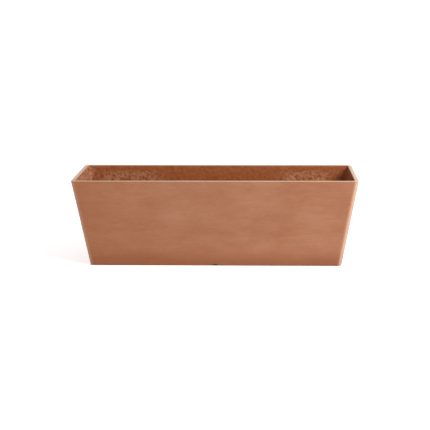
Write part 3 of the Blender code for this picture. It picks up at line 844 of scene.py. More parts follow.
def start_tree(
    name: str, inputs: dict[str, str]
) -> tuple[bpy.types.GeometryNodeTree, bpy.types.NodeOutputs]:
    """Starts a tree that changes a piece.

    Args:
        name: The tree's name.
        inputs: The names of its inputs besides the piece, each with its kind of socket.

    Returns:
        The tree, and the sockets that give its inputs.
    """
    tree = bpy.data.node_groups.new(name, "GeometryNodeTree")
    for key, kind in ({"Geometry": "Geometry"} | inputs).items():
        tree.interface.new_socket(name=key, in_out="INPUT", socket_type=f"NodeSocket{kind}")
    tree.interface.new_socket(name="Geometry", in_out="OUTPUT", socket_type="NodeSocketGeometry")
    return tree, add_node(tree, "NodeGroupInput").outputs


def run_tree(
    tree: bpy.types.GeometryNodeTree,
    shape: bpy.types.NodeSocket,
    obj: bpy.types.Object,
    finish: Finish,
    values: dict[str, object],
) -> None:
    """Ends a tree with the piece's finish, runs it on the piece and clears it away.

    Args:
        tree: The tree.
        shape: What it has made so far.
        obj: The piece.
        finish: What the piece is made of.
        values: What each of its inputs is set to.
    """
    plain = add_node(tree, "GeometryNodeRealizeInstances", {0: shape}).outputs[0]
    links = {"Geometry": plain, "Material": finish.material()}
    dressed = add_node(tree, "GeometryNodeSetMaterial", links).outputs[0]
    add_node(tree, "NodeGroupOutput", {0: dressed})
    modifier = obj.modifiers.new(tree.name, "NODES")
    modifier.node_group = tree
    for item in tree.interface.items_tree:
        if item.in_out == "INPUT" and item.name in values:
            modifier[item.identifier] = values[item.name]
    settle(obj)
    bpy.data.node_groups.remove(tree)


@dataclass
class Pattern:
    """A rounded block that is repeated on a piece, either cut from it or added to it."""

    name: str
    operation: Operation
    length: float
    width: float
    height: float
    rounding: float
    corner_steps: int = 4

    def block(
        self, tree: bpy.types.GeometryNodeTree, given: bpy.types.NodeOutputs
    ) -> bpy.types.NodeSocket:
        """Adds the block about zero to a tree.

        Args:
            tree: The tree.
            given: Its inputs.

        Returns:
            The block.
        """
        links = {"Width": given["Length"], "Height": given["Width"]}
        outline = add_node(tree, "GeometryNodeCurvePrimitiveQuadrilateral", links).outputs[0]
        links = {"Curve": outline, "Radius": given["Rounding"], "Count": self.corner_steps}
        rounded = add_node(tree, "GeometryNodeFilletCurve", links, mode="POLY").outputs[0]
        half = product(tree, given["Height"], 0.5)
        foot = add_node(tree, "ShaderNodeCombineXYZ", {"Z": product(tree, half, -1.0)}).outputs[0]
        head = add_node(tree, "ShaderNodeCombineXYZ", {"Z": half}).outputs[0]
        links = {"Start": foot, "End": head}
        path = add_node(tree, "GeometryNodeCurvePrimitiveLine", links).outputs[0]
        links = {"Curve": path, "Profile Curve": rounded, "Fill Caps": True}
        return add_node(tree, "GeometryNodeCurveToMesh", links).outputs[0]

    def apply(self, obj: bpy.types.Object, places: list[Place], finish: Finish) -> None:
        """Repeats the block over a piece, cut from it or added to it.

        Args:
            obj: The piece.
            places: Where each block's middle is, and its turn about X, Y and Z.
            finish: What the piece is made of.
        """
        points = bpy.data.meshes.new(f"{self.name}_places")
        points.from_pydata([at for at, _ in places], [], [])
        turn = points.attributes.new("turn", "FLOAT_VECTOR", "POINT")
        turn.data.foreach_set("vector", [angle for _, turns in places for angle in turns])
        holder = bpy.data.objects.new(points.name, points)
        bpy.context.scene.collection.objects.link(holder)

        values = {
            "Length": self.length,
            "Width": self.width,
            "Height": self.height,
            "Rounding": self.rounding,
        }
        tree, given = start_tree(self.name, {"Places": "Object"} | dict.fromkeys(values, "Float"))
        block = self.block(tree, given)
        at = add_node(tree, "GeometryNodeObjectInfo", {"Object": given["Places"]})
        angles = add_node(
            tree, "GeometryNodeInputNamedAttribute", {"Name": "turn"}, data_type="FLOAT_VECTOR"
        )
        turned_to = add_node(tree, "FunctionNodeEulerToRotation", {0: angles.outputs[0]}).outputs[0]
        links = {"Points": at.outputs["Geometry"], "Instance": block, "Rotation": turned_to}
        copies = add_node(tree, "GeometryNodeInstanceOnPoints", links).outputs[0]
        solid = add_node(tree, "GeometryNodeRealizeInstances", {0: copies}).outputs[0]
        if self.operation is Operation.CUT:
            links = {0: given["Geometry"], 1: solid}
            kind = "GeometryNodeMeshBoolean"
            whole = add_node(tree, kind, links, operation="DIFFERENCE", solver="EXACT")
        else:
            whole = add_node(tree, "GeometryNodeJoinGeometry", {0: given["Geometry"]})
            tree.links.new(solid, whole.inputs[-1])
        run_tree(tree, whole.outputs[0], obj, finish, values | {"Places": holder})
        bpy.data.objects.remove(holder)
        bpy.data.meshes.remove(points)


def round_bore(name: str, radius: float, depth: float, steps: int = 8) -> Pattern:
    """A round hole, as a block whose corners take up all of it.

    Args:
        name: Its name.
        radius: Its radius.
        depth: Its depth.
        steps: The steps in each quarter of it.

    Returns:
        The hole.
    """
    return Pattern(name, Operation.CUT, 2 * radius, 2 * radius, depth, 0.999 * radius, steps)


@dataclass
class Ripple:
    """The slight waviness of a moulded wall. It only ever sinks the surface, so the size holds."""

    depth: float = 0.22 * MM
    wavelength: float = 75 * MM
    seed: float = 4.0

    def apply(self, obj: bpy.types.Object, finish: Finish) -> None:
        """Sinks a piece's surface by a smooth noise.

        Args:
            obj: The piece.
            finish: What it is made of.
        """
        values = {"Depth": self.depth, "Frequency": 1 / self.wavelength, "Seed": self.seed}
        tree, given = start_tree("wall_ripple", dict.fromkeys(values, "Float"))
        links = {"Scale": given["Frequency"], "W": given["Seed"], "Detail": 1.0}
        noise = add_node(tree, "ShaderNodeTexNoise", links, noise_dimensions="4D").outputs[0]
        sink = product(tree, product(tree, noise, given["Depth"]), -1.0)
        normal = add_node(tree, "GeometryNodeInputNormal").outputs[0]
        links = {0: normal, "Scale": sink}
        offset = add_node(tree, "ShaderNodeVectorMath", links, operation="SCALE").outputs[0]
        links = {"Geometry": given["Geometry"], "Offset": offset}
        sunk = add_node(tree, "GeometryNodeSetPosition", links).outputs[0]
        run_tree(tree, sunk, obj, finish, values)


# Sub-assemblies.


def middle_of(node: str) -> Vector:
    """The middle of a CAD node's box.

    Args:
        node: The node's name.

    Returns:
        Its middle.
    """
    low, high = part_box(node)
    return (Vector(low) + Vector(high)) / 2


@dataclass
class SubAssembly:
    """What every sub-assembly does: it dresses its pieces and sets them on the frame."""

    body: Body

    def fit(
        self,
        obj: bpy.types.Object,
        finish: Finish,
        node: str,
        body: Body | None = None,
        edge_round: float = 0.0,
    ) -> bpy.types.Object:
        """Finishes a piece: its edges, its shading, its finish and its place on the frame.

        Args:
            obj: The piece.
            finish: Its finish.
            node: The CAD node that it stands for.
            body: The body that it rides on, if not the sub-assembly's own.
            edge_round: How far its sharp edges are rounded.

        Returns:
            The piece.
        """
        if edge_round > 0:
            bevel = obj.modifiers.new("edges", "BEVEL")
            bevel.width = edge_round
            bevel.segments = 2
            bevel.limit_method = "ANGLE"
            bevel.angle_limit = math.radians(42)
            settle(obj)
        obj.data.materials.clear()
        obj.data.materials.append(finish.material())
        obj.data.shade_smooth()
        obj.data.set_sharp_from_angle(angle=math.radians(35))
        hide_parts(node)
        rides = body or self.body
        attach(obj, rides.value)
        LOG.info("%s: %d faces, on %s", obj.name, len(obj.data.polygons), rides.value)
        return obj


@dataclass
class Trough(SubAssembly):
    """The tapered trough, with its rim, floor, foot ring, weep notches and drain hole."""

    body: Body = Body.TROUGH
    half_length: float = 270.5 * MM  # at the ground
    half_depth: float = 65.5 * MM
    height: float = 190 * MM
    lean: float = 29.5 * MM
    wall: float = 8.5 * MM
    floor_top: float = 14 * MM
    corner_at_rim: float = 10.5 * MM
    corner_at_base: float = 13 * MM
    inner_corner: float = 5 * MM
    rim_round: float = 1.4 * MM
    base_round: float = 3 * MM
    floor_round: float = 6 * MM
    foot_height: float = 6 * MM
    foot_width: float = 12 * MM
    foot_round: float = 0.8 * MM
    notch_width: float = 11 * MM
    notch_height: float = 3.4 * MM
    notch_round: float = 1.2 * MM
    drain_radius: float = 12.1 * MM
    step: float = 7.5 * MM

    def outer(self, z: float) -> float:
        """How far the outside stands out from its outline on the ground, at height z."""
        return self.lean * z / self.height

    def loop(self, offset: float, z: float) -> Ring:
        """One loop round the trough.

        Args:
            offset: How far it stands out from the outline on the ground.
            z: Its height.

        Returns:
            The loop.
        """
        outside = self.corner_at_base + (self.corner_at_rim - self.corner_at_base) * z / self.height
        radius = max(self.inner_corner, outside - (self.outer(z) - offset))
        runs = (int(2 * self.half_length / self.step), int(2 * self.half_depth / self.step))
        half_x, half_y = self.half_length + offset, self.half_depth + offset
        return rounded_rectangle(half_x, half_y, radius, 8, runs), z

    def shape(self) -> bmesh.types.BMesh:
        """The trough's walls, floor and foot ring, without its holes."""
        inner_rim = self.outer(self.height) - self.wall
        inner_floor = self.outer(self.floor_top) - self.wall
        profile = soften(
            [
                (-self.foot_width, self.foot_height, 0),
                (-self.foot_width, 0, self.foot_round),
                (0, 0, self.base_round),
                (self.outer(self.height), self.height, self.rim_round),
                (inner_rim, self.height, self.rim_round),
                (inner_floor, self.floor_top, self.floor_round),
                (inner_floor - 2 * self.floor_round, self.floor_top, 0),
            ]
        )
        return skin([self.loop(*point) for point in divide(profile, self.step)])

    def mark(self, obj: bpy.types.Object) -> None:
        """Writes where the surface is an edge, inside, low or under pale dusting, for its finish to
        read.
        The edge mark is wear with a painted highlight, the low mark is painted shade towards the
        bottom, and the dusting mark also holds painted light on the left end's inner wall.

        Args:
            obj: The trough.
        """
        marks = {name: [] for name in MARKS}
        for vertex in obj.data.vertices:
            x, y, z = vertex.co
            from_end = self.half_length + self.outer(z) - abs(x)
            from_side = self.half_depth + self.outer(z) - abs(y)
            depth = min(from_end, from_side)
            inside = smooth_step(0.3, 0.8, depth / self.wall) if z > self.floor_top - MM else 0.0
            rim = smooth_step(self.height - 1.3 * MM, self.height - 0.25 * MM, z)
            corner = 1 - smooth_step(0.2, 1.1, max(from_end, from_side) / self.corner_at_rim)
            at_end = 1 - smooth_step(0.6, 1.4, from_end / self.wall)
            # painted highlight: the corners are paler towards the right, where the light falls,
            # over a little wear; the rim's top is pale from wear and a painted highlight
            corner_rub_and_painted_highlight = 0.2 + 0.25 * smooth_step(-0.1, 0.1, x)
            marks["edge"].append(max(rim * (0.62 + 0.38 * at_end), corner * corner_rub_and_painted_highlight))
            marks["inside"].append(inside * (1 - rim))
            # painted shade: the low mark darkens the wall towards the bottom
            marks["low"].append(1 - smooth_step(4 * MM, 46 * MM, z))
            marks["dust"].append(inside * self.dust_and_painted_light_at(x, z))
        for name, values in marks.items():
            layer = obj.data.attributes.new(name, "FLOAT", "POINT")
            layer.data.foreach_set("value", values)

    def dust_and_painted_light_at(self, x: float, z: float) -> float:
        """How much pale colour the inner wall takes: dusting in two patches, and painted light on
        the upper inner wall of the left end.

        Args:
            x: The place along the trough.
            z: The height.

        Returns:
            From 0 to 1.
        """
        patches = sum(
            smooth_step(middle - reach, middle, x) * (1 - smooth_step(middle, middle + reach, x))
            for middle, reach in ((-0.20, 0.10), (0.20, 0.085))
        )
        shoulder = smooth_step(self.height - 8 * MM, self.height - 20 * MM, z)
        height = smooth_step(self.height - 80 * MM, self.height - 40 * MM, z) * shoulder
        # painted light: the left end's inner wall faces the light from the right, so it is painted
        # paler
        end = smooth_step(-0.272, -0.284, x)
        return max(min(1.0, 1.4 * patches) * height, 1.3 * end)

    def build(self) -> None:
        """Builds the trough and sets it on the frame."""
        obj = new_object("trough_shell", self.shape())
        Ripple().apply(obj, COMPOSITE)
        near = self.half_depth - self.foot_width / 2
        across, through = 2 * self.notch_height, 2 * self.foot_width
        notches = Pattern(
            "weep_notches", Operation.CUT, self.notch_width, across, through, self.notch_round
        )
        notches.apply(obj, [((0, side * near, 0), THROUGH_FRONT) for side in (-1, 1)], COMPOSITE)
        drain = round_bore("drain_hole", self.drain_radius, 4 * self.floor_top, 12)
        drain.apply(obj, [((0, 0, self.floor_top), UPRIGHT)], COMPOSITE)
        self.mark(obj)
        self.fit(obj, COMPOSITE, "planter_shell")


def smooth_step(low: float, high: float, value: float) -> float:
    """A smooth rise from 0 at low to 1 at high.

    Args:
        low: Where the rise starts.
        high: Where it ends.
        value: The value.

    Returns:
        From 0 to 1.
    """
    part = min(1.0, max(0.0, (value - low) / (high - low)))
    return part * part * (3 - 2 * part)


@dataclass
class Drain(SubAssembly):
    """The drain in the middle of the floor: a rubber bush, a standpipe and a rubber plug."""

    body: Body = Body.TROUGH
    bore: float = 7 * MM
    pipe_radius: float = 9 * MM
    gap: float = 0.3 * MM
    bush_wall: float = 2.5 * MM
    bush_flange: float = 4 * MM
    bush_lip: float = 1.8 * MM
    collar: float = 3 * MM
    plug_flange: float = 2 * MM
    tab: float = 6 * MM

    def bush(self) -> bmesh.types.BMesh:
        """The bush, with a groove for the floor and fine rings on its flange."""
        low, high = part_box("drain_grommet")
        inner = self.pipe_radius + self.gap
        outer = inner + self.bush_wall
        wide = outer + self.bush_flange
        under, over = low[2] + self.bush_lip, high[2] - self.bush_lip
        groove = 0.35 * MM
        profile: list[Corner] = [
            (inner, low[2], 0.5 * MM),
            (wide, low[2], 0.6 * MM),
            (wide, under, 0.3 * MM),
            (outer, under, 0),
            (outer, over, 0),
            (wide, over, 0.3 * MM),
            (wide, high[2], 0.6 * MM),
            (wide - 1.6 * MM, high[2], 0),
            (wide - 1.9 * MM, high[2] - groove, 0),
            (wide - 2.5 * MM, high[2] - groove, 0),
            (wide - 2.8 * MM, high[2], 0),
            (inner, high[2], 0.5 * MM),
        ]
        return turned(soften(profile, closed=True, steps=3))

    def pipe(self) -> bmesh.types.BMesh:
        """The standpipe, with its collar and a rolled lip at its top."""
        low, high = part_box("overflow_standpipe")
        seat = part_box("drain_grommet")[1][2] + self.gap
        wide = self.pipe_radius + self.collar
        lip = 0.5 * MM
        profile: list[Corner] = [
            (self.bore, low[2], 0.3 * MM),
            (self.pipe_radius, low[2], 0.3 * MM),
            (self.pipe_radius, seat, 0),
            (wide, seat, 0.3 * MM),
            (wide, seat + 2 * MM, 0.5 * MM),
            (self.pipe_radius, seat + 2 * MM, 0.5 * MM),
            (self.pipe_radius - lip, seat + 6 * MM, 0),
            (self.pipe_radius - lip, high[2] - 3 * MM, 0),
            (self.pipe_radius, high[2] - 2.5 * MM, 0.2 * MM),
            (self.pipe_radius, high[2], 0.6 * MM),
            (self.bore, high[2], 0.6 * MM),
        ]
        return turned(soften(profile, closed=True, steps=4))

    def plug(self) -> bmesh.types.BMesh:
        """The plug, with sealing rings on its stem and a tab to pull it by."""
        low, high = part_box("drain_plug")
        stem = self.bore - self.gap
        wide = self.pipe_radius + self.plug_flange
        under = low[2] + 1.8 * MM
        profile: list[Corner] = [(0, low[2], 0), (wide, low[2], 0.45 * MM)]
        profile.append((wide, under, 0.45 * MM))
        profile.append((stem - 0.5 * MM, under, 0))
        for ring in range(3):
            z = under + (2.2 + 2.3 * ring) * MM
            profile += bead(stem - 0.5 * MM, stem, z)
        profile += [(stem - 1.8 * MM, high[2], 0.8 * MM), (0, high[2], 0)]
        body = turned(soften(profile, steps=3), closed=False)
        half = (high[0] - wide + self.tab) / 2
        tab = [
            (x + high[0] - half, y)
            for x, y in rounded_rectangle(half, self.tab / 2, self.tab / 3, 6)
        ]
        return gathered([body, prism(tab, low[2] + 0.3 * MM, under - 0.3 * MM)])

    def build(self) -> None:
        """Builds the drain's pieces and sets them on the frame."""
        self.fit(new_object("floor_bush", self.bush()), RUBBER, "drain_grommet")
        self.fit(new_object("standpipe", self.pipe()), GREY_PLASTIC, "overflow_standpipe")
        plug = new_object("floor_plug", self.plug())
        eye = Pattern("plug_eye", Operation.CUT, 2.4 * MM, 2.4 * MM, 9 * MM, 1.19 * MM)
        low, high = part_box("drain_plug")
        eye.apply(plug, [((high[0] - 2.8 * MM, 0, low[2]), UPRIGHT)], RUBBER)
        self.fit(plug, RUBBER, "drain_plug", Body.PLUG)


@dataclass
class Deck(SubAssembly):
    """The false floor: a plate with a skirt, holes for what hangs in it, and air slots.

    Its end, which holds the shaft and the gauge, is a piece of its own, with a lap at the seam.
    """

    body: Body = Body.INSERT
    trough: Trough = field(default_factory=Trough)
    plate: float = 3 * MM
    skirt_wall: float = 2.5 * MM
    edge_round: float = 1.5 * MM
    gap: float = 2 * MM
    seat_gap: float = 0.3 * MM
    slot_width: float = 4 * MM
    slot_length: float = 15 * MM
    pitch_x: float = 10 * MM
    pitch_y: float = 21 * MM
    margin: float = 3 * MM
    basket_half: Point = (38 * MM, 35 * MM)
    basket_corner: float = 9.3 * MM
    shaft_half: float = 18 * MM
    shaft_corner: float = 5.3 * MM
    gauge_radius: float = 14 * MM
    spigot: float = 4 * MM
    flange: float = 4 * MM
    flange_thick: float = 2 * MM
    lap: float = 3 * MM
    # How deep every hole is cut, half of it below the deck's top.
    through: float = 18 * MM

    def seam(self) -> float:
        """Where along the trough the deck and its end meet."""
        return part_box("reservoir_deck")[1][0] + self.seat_gap / 2

    def shape(self) -> bmesh.types.BMesh:
        """The plate and its skirt, without holes, along the whole trough."""
        low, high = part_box("reservoir_deck")
        bottom, top = low[2], high[2]
        edge = self.trough.outer(top) - self.trough.wall - self.gap
        foot = self.trough.outer(bottom) - self.trough.wall - self.gap
        profile = soften(
            [
                (edge - 3 * self.edge_round, top, 0),
                (edge, top, self.edge_round),
                (foot, bottom, 0.4 * MM),
                (foot - self.skirt_wall, bottom, 0.4 * MM),
                (foot - self.skirt_wall, top - self.plate, 0),
            ],
            steps=4,
        )
        return skin([self.trough.loop(*point) for point in profile])

    def fillings(self) -> dict[str, list[tuple[Point, Point]]]:
        """What stands in the deck.

        Returns:
            For each kind, the middle of each and its half sizes.
        """
        baskets = [middle_of(f"wick_basket_{i}") for i in (1, 2, 3)]
        pillars = [middle_of(f"deck_pillar_{i}") for i in range(1, 7)]
        shaft = FillShaft.middle()
        gauge = middle_of("gauge_tube")
        return {
            "basket": [((m.x, m.y), self.basket_half) for m in baskets],
            "shaft": [((shaft.x, shaft.y), (self.shaft_half,) * 2)],
            "gauge": [((gauge.x, gauge.y), (self.gauge_radius,) * 2)],
            "spigot": [((m.x, m.y), (self.spigot,) * 2) for m in pillars],
            "seam": [((self.seam(), 0.0), (self.seat_gap / 2, self.reach().y))],
        }

    def reach(self) -> Vector:
        """How far the deck reaches from the middle at its lower edge, and the height of its top."""
        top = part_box("reservoir_deck")[1][2]
        foot = self.trough.outer(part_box("reservoir_deck")[0][2]) - self.trough.wall - self.gap
        return Vector((self.trough.half_length + foot, self.trough.half_depth + foot, top))

    def slots(self) -> list[Place]:
        """The places of the air slots: a grid, without those that would meet something."""
        room = dict.fromkeys(("basket", "shaft", "gauge"), self.flange)
        room |= {"spigot": self.margin, "seam": 0.0}
        taken = [
            (middle, (half[0] + room[kind], half[1] + room[kind]))
            for kind, places in self.fillings().items()
            for middle, half in places
        ]
        half_x, half_y = self.slot_width / 2, self.slot_length / 2
        edge = self.skirt_wall + self.margin
        columns = int((self.reach().x - edge - half_x) / self.pitch_x)
        rows = int((self.reach().y - edge - half_y) / self.pitch_y)
        places = []
        for i in range(-columns, columns + 1):
            for j in range(-rows, rows + 1):
                x, y = i * self.pitch_x, j * self.pitch_y
                if all(
                    abs(x - at[0]) > half[0] + half_x + self.margin
                    or abs(y - at[1]) > half[1] + half_y + self.margin
                    for at, half in taken
                ):
                    places.append(((x, y, self.reach().z), UPRIGHT))
        return places

    def lap_strip(self) -> bmesh.types.BMesh:
        """The strip of the deck's end that lies over the deck at the seam."""
        root, tip = self.seam() + self.seat_gap, self.seam() - self.lap
        top, upper = self.reach().z, self.reach().z + self.seat_gap
        outline = soften(
            [
                (root, top - self.plate / 2, 0),
                (root + self.flange_thick, top - self.plate / 2, 0),
                (root + self.flange_thick, upper + self.flange_thick, 0.5 * MM),
                (tip, upper + self.flange_thick, 0.5 * MM),
                (tip, upper, 0.3 * MM),
                (root, upper, 0),
            ]
        )
        half = self.reach().y - self.skirt_wall
        return moved(prism(outline, -half, half), (0, 0, 0), THROUGH_FRONT)

    def cut(self, obj: bpy.types.Object, side: int) -> None:
        """Cuts one of the deck's two pieces from the whole plate, with its holes and slots.

        Args:
            obj: The whole plate.
            side: 1 for the shaft's end, -1 for the rest.
        """
        top = self.reach().z
        long, wide = 2 * self.trough.half_length, 4 * self.trough.half_depth
        middle = self.seam() - side * (self.trough.half_length - self.seat_gap / 2)
        waste = Pattern(
            "beyond_seam", Operation.CUT, long, wide, 2 * self.through, 0.01 * MM, 1
        )
        waste.apply(obj, [((middle, 0, top), UPRIGHT)], BLACK_PLASTIC)
        corners = {"basket": self.basket_corner, "shaft": self.shaft_corner}
        for kind in ("shaft", "gauge") if side > 0 else ("basket", "spigot"):
            places = self.fillings()[kind]
            length, width = (2 * (h + self.seat_gap) for h in places[0][1])
            rounding = corners.get(kind, 0.499 * length)
            hole = Pattern(
                f"{kind}_holes", Operation.CUT, length, width, self.through, rounding, 10
            )
            hole.apply(obj, [((*at, top), UPRIGHT) for at, _ in places], BLACK_PLASTIC)
        width, length = self.slot_width, self.slot_length
        slots = Pattern("air_slots", Operation.CUT, width, length, self.through, 0.49 * width)
        mine = [place for place in self.slots() if side * (place[0][0] - self.seam()) > 0]
        slots.apply(obj, mine, BLACK_PLASTIC)

    def build(self) -> None:
        """Builds the deck and its end, and sets them on the frame."""
        for name, side, node in (
            ("deck_plate", -1, "reservoir_deck"),
            ("deck_end_plate", 1, "deck_end"),
        ):
            plate = new_object(name, self.shape())
            self.cut(plate, side)
            self.fit(plate, BLACK_PLASTIC, node, edge_round=0.25 * MM)
        strip = new_object("deck_lap_strip", self.lap_strip())
        self.fit(strip, BLACK_PLASTIC, "deck_end")


@dataclass
class Baskets(SubAssembly):
    """The three slotted soil baskets that hang from the deck into the water."""

    body: Body = Body.BASKET_1
    half_x: float = 38 * MM
    half_y: float = 35 * MM
    draft: float = 7 * MM
    wall: float = 2 * MM
    corner: float = 9 * MM
    flange_width: float = 4 * MM
    slot: float = 3 * MM
    slot_pitch: float = 11 * MM
    slots_long: int = 5
    slots_short: int = 4
    margin: float = 7 * MM
    through: float = 160 * MM
    deck_top: float = 62 * MM

    def loop(self, z: float, inset: float) -> list[Point]:
        """One loop of the wall, with its corners kept round where it is set in deeply.

        Args:
            z: Its height.
            inset: How far it is set in from the outside.

        Returns:
            Its points.
        """
        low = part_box("wick_basket_1")[0][2]
        lean = self.draft * (self.deck_top - z) / (self.deck_top - low)
        radius = max(1.5 * MM, self.corner - inset)
        return rounded_rectangle(self.half_x - lean - inset, self.half_y - lean - inset, radius, 8)

    def shape(self) -> bmesh.types.BMesh:
        """A basket about zero, without slots."""
        low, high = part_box("wick_basket_1")
        bottom, top = low[2], high[2]
        seat = top - 2 * MM
        rounded = soften(
            [
                (12 * MM, bottom, 0),
                (0, bottom, 1.6 * MM),
                (0, seat, 0.4 * MM),
                (-self.flange_width, seat, 0.5 * MM),
                (-self.flange_width, top, 0.7 * MM),
                (self.wall, top, 0.7 * MM),
                (self.wall, bottom + self.wall, 1.2 * MM),
                (12 * MM, bottom + self.wall, 0),
            ],
            steps=4,
        )
        return skin([(self.loop(z, inset), z) for inset, z in rounded])

    def row(self, count: int) -> list[float]:
        """The middles of a row of slots about zero."""
        return [(i - (count - 1) / 2) * self.slot_pitch for i in range(count)]

    def build(self) -> None:
        """Builds the baskets and sets them on the frame."""
        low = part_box("wick_basket_1")[0][2]
        first, last = low + self.margin, self.deck_top - 3 * MM - self.margin
        tall, level = last - first, (first + last) / 2
        long_row, short_row = self.row(self.slots_long), self.row(self.slots_short)
        reach, ends = 2 * (self.half_y - self.draft - self.corner), 0.49 * self.slot
        sides = Pattern("side_slots", Operation.CUT, self.slot, tall, self.through, ends)
        under = Pattern("floor_slots", Operation.CUT, self.slot, reach, 4 * self.wall, ends)
        across = [((a, 0, level), THROUGH_FRONT) for a in long_row]
        along = [((0, b, level), THROUGH_SIDE) for b in short_row]
        below = [((a, 0, low), UPRIGHT) for a in short_row]
        for number in (1, 2, 3):
            node = f"wick_basket_{number}"
            obj = new_object(f"soil_basket_{number}", self.shape())
            sides.apply(obj, across + along, BLACK_PLASTIC)
            under.apply(obj, below, BLACK_PLASTIC)
            self.add_ribs(obj, low)
            place = middle_of(node)
            obj.data.transform(Matrix.Translation((place.x, place.y, 0)))
            self.fit(obj, BLACK_PLASTIC, node, Body(f"basket_{number}"), edge_round=0.2 * MM)

    def add_ribs(self, obj: bpy.types.Object, low: float) -> None:
        """Adds the upright ribs inside the basket, between its slots.

        Args:
            obj: The basket, about zero.
            low: The height of its underside.
        """
        tall = self.deck_top - low - 8 * MM
        angle = math.atan2(self.draft, self.deck_top - low)
        mid = (self.deck_top + low) / 2
        lean = self.draft * (self.deck_top - mid) / (self.deck_top - low)
        ribs = Pattern("wall_ribs", Operation.ADD, 1.2 * MM, 1.6 * MM, tall, 0.3 * MM, 2)
        inner_y = self.half_y - lean - self.wall - 0.3 * MM
        inner_x = self.half_x - lean - self.wall - 0.3 * MM
        places: list[Place] = []
        for side in (-1, 1):
            for a in self.row(self.slots_long - 1):
                places.append(((a, side * inner_y, mid), (-side * angle, 0, 0)))
            for b in self.row(self.slots_short - 1):
                places.append(((side * inner_x, b, mid), (0, side * angle, 0)))
        ribs.apply(obj, places, BLACK_PLASTIC)


@dataclass
class Pillars(SubAssembly):
    """The six hollow legs under the deck, each with a spigot up into it and fins round it."""

    body: Body = Body.INSERT
    top: float = 7 * MM
    foot: float = 9 * MM
    wall: float = 2 * MM
    spigot: float = 4 * MM
    fins: int = 8

    def shape(self) -> bmesh.types.BMesh:
        """One pillar about zero."""
        low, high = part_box("deck_pillar_1")
        bottom, crown = low[2], high[2]
        shoulder = crown - 3.3 * MM
        slim = 0.9 * MM
        profile: list[Corner] = [
            (0, shoulder - self.wall, 0),
            (self.top - slim - self.wall, shoulder - self.wall, 1 * MM),
            (self.foot - slim - self.wall, bottom, 0.3 * MM),
            (self.foot, bottom, 0.4 * MM),
            (self.foot, bottom + 2 * MM, 0.5 * MM),
            (self.foot - slim, bottom + 2.6 * MM, 0),
            (self.top - slim, shoulder - 2.6 * MM, 0),
            (self.top, shoulder - 2 * MM, 0.4 * MM),
            (self.top, shoulder, 0.4 * MM),
            (self.spigot, shoulder, 0),
            (self.spigot, crown, 0.8 * MM),
            (0, crown, 0),
        ]
        return turned(soften(profile, steps=3), closed=False, steps=48)

    def build(self) -> None:
        """Builds the pillars and sets them on the frame."""
        low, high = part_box("deck_pillar_1")
        tall = high[2] - low[2] - 9 * MM
        mid = (low[2] + high[2] - 3 * MM) / 2
        lean = math.atan2(self.foot - self.top, high[2] - low[2] - 3 * MM)
        radius = (self.foot + self.top) / 2 - 1.2 * MM
        fins = Pattern("pillar_fins", Operation.ADD, 1.9 * MM, 1.1 * MM, tall, 0.25 * MM, 2)
        turns = [math.tau * i / self.fins for i in range(self.fins)]
        places = [
            ((radius * math.cos(t), radius * math.sin(t), mid), (0, -lean, t)) for t in turns
        ]
        for number in range(1, 7):
            node = f"deck_pillar_{number}"
            obj = new_object(f"pillar_{number}", self.shape())
            fins.apply(obj, places, BLACK_PLASTIC)
            at = middle_of(node)
            obj.data.transform(Matrix.Translation((at.x, at.y, 0)))
            self.fit(obj, BLACK_PLASTIC, node)


